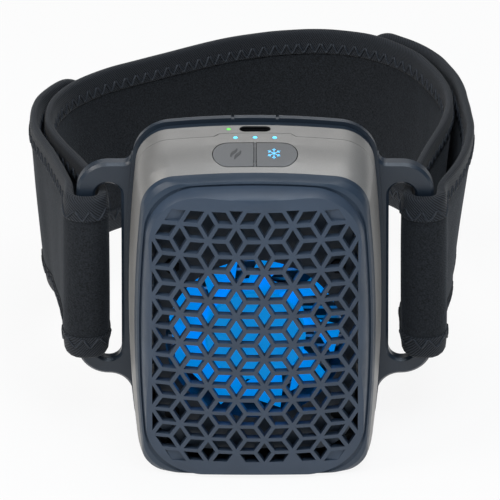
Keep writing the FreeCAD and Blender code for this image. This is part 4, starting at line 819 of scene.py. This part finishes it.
def zigzag(name, edge, inside, side):
    """Row of zigzag stitches on one face of a binding; side is 1 on the strap's outside."""
    near = edge + inside * (BINDING_WIDTH - STITCH_INSET)
    far = near - inside * STITCH_HEIGHT

    def ring(made, along, height, sink):
        """Four points round the thread at a place of the strap."""
        index = min(int(along / SPACING), len(ROUTE) - 2)
        depth = side * (face_depth(abs(height - edge)) + STITCH_PROUD - sink)
        ends = [strap_point(index + offset, height, depth) for offset in (0, 1)]
        centre = ends[0].lerp(ends[1], along / SPACING - index)
        out = outward(index).to_3d() * side
        across = Vector((0, 0, 1)).cross(out)
        points = []
        for turn in (0, pi / 2, pi, 3 * pi / 2):
            reach = out * cos(turn) * THREAD_FLATNESS + across * sin(turn)
            points.append(made.verts.new(centre + reach * THREAD_RADIUS * MM))
        return points

    def build(made):
        legs = 2 * int(STRAP_LENGTH / STITCH_PITCH)
        tips = [((leg + 0.5) * STITCH_PITCH / 2, near if leg % 2 else far) for leg in range(legs)]
        rings = []
        for (start, low), (stop, high) in zip(tips, tips[1:]):
            for share in STITCH_SHARES:
                sink = STITCH_SINK if share in (STITCH_SHARES[0], STITCH_SHARES[-1]) else 0.0
                rings.append(ring(made, start + (stop - start) * share, low + (high - low) * share, sink))
        for before, after in zip(rings, rings[1:]):
            bridge(made, before, after)
    return mesh_piece(name, build, THREAD, "cradle")


stitches = [zigzag(f"stitches_{label}_{place}", edge, inside, side)
            for label, edge, inside in (("lower", STRAP_LOW, 1), ("upper", STRAP_HIGH, -1))
            for place, side in (("outer", 1), ("inner", -1))]


# ---------------------------------------------------------------- stage
# Lengths are in metres again.
FLOOR_SIDE = 12.0
FLOOR_DROP = 0.0002
LIT_PLACE = (0, 0, 0.055)       # what every lamp points at


def stage_material(name, color, glow):
    """Pale floor that the camera and reflections see as near white, with the object's faint shadow."""
    surface = Surface(name, color, 0.9)
    rays = surface.node("ShaderNodeLightPath")
    seen = rays.outputs["Is Camera Ray"]
    for kind in ("Is Transmission Ray", "Is Glossy Ray"):
        either = surface.node("ShaderNodeMath", operation="MAXIMUM")
        surface.link(seen, either.inputs[0])
        surface.link(rays.outputs[kind], either.inputs[1])
        seen = either.outputs[0]
    share = surface.node("ShaderNodeMath", operation="MULTIPLY")
    surface.link(seen, share.inputs[0])
    share.inputs[1].default_value = glow
    light = surface.node("ShaderNodeEmission")
    light.inputs["Strength"].default_value = 1.0
    mix = surface.node("ShaderNodeMixShader")
    surface.link(share.outputs[0], mix.inputs["Fac"])
    surface.link(surface.shader.outputs["BSDF"], mix.inputs[1])
    surface.link(light.outputs["Emission"], mix.inputs[2])
    surface.link(mix.outputs["Shader"], surface.tree.nodes["Material Output"].inputs["Surface"])
    return surface.material


def make_floor():
    """White floor just under the object's foot."""
    bpy.ops.mesh.primitive_plane_add(size=FLOOR_SIDE, location=(0, 0, -FLOOR_DROP))
    floor = bpy.context.object
    floor.name = "floor"
    floor.data.materials.append(stage_material("floor_white", (0.95, 0.95, 0.95), 0.9))


def area_light(name, place, size, power, color=(1, 1, 1)):
    """Soft lamp that points at the object."""
    data = bpy.data.lights.new(name, "AREA")
    data.shape = "RECTANGLE"
    data.size, data.size_y = size
    data.energy = power
    data.color = color
    lamp = bpy.data.objects.new(name, data)
    bpy.context.scene.collection.objects.link(lamp)
    lamp.location = place
    lamp.rotation_mode = "QUATERNION"
    lamp.rotation_quaternion = (Vector(LIT_PLACE) - Vector(place)).to_track_quat("-Z", "Y")


def make_lights():
    """Five soft lamps and a faint cool light from all round."""
    area_light("top_left", (-0.6, -0.3, 0.7), (0.4, 0.4), 3.6, (1.0, 0.97, 0.94))
    area_light("top_front", (0.1, -0.45, 0.85), (0.5, 0.4), 3.2, (0.78, 0.89, 1.0))
    area_light("over", (0.2, -0.1, 0.9), (0.5, 0.5), 2.3, (1.0, 0.98, 0.96))
    area_light("back", (0, 0.7, 0.6), (0.8, 0.3), 1.6)
    area_light("front_low", (0, -0.9, 0.12), (0.8, 0.2), 0.6, (0.7, 0.85, 1.0))
    world = bpy.data.worlds.new("studio")
    bpy.context.scene.world = world
    world.use_nodes = True
    surround = world.node_tree.nodes["Background"]
    surround.inputs["Color"].default_value = (0.75, 0.8, 0.88, 1)
    surround.inputs["Strength"].default_value = 0.05


make_camera()
make_floor()
make_lights()
bpy.context.scene.view_settings.view_transform = "Standard"
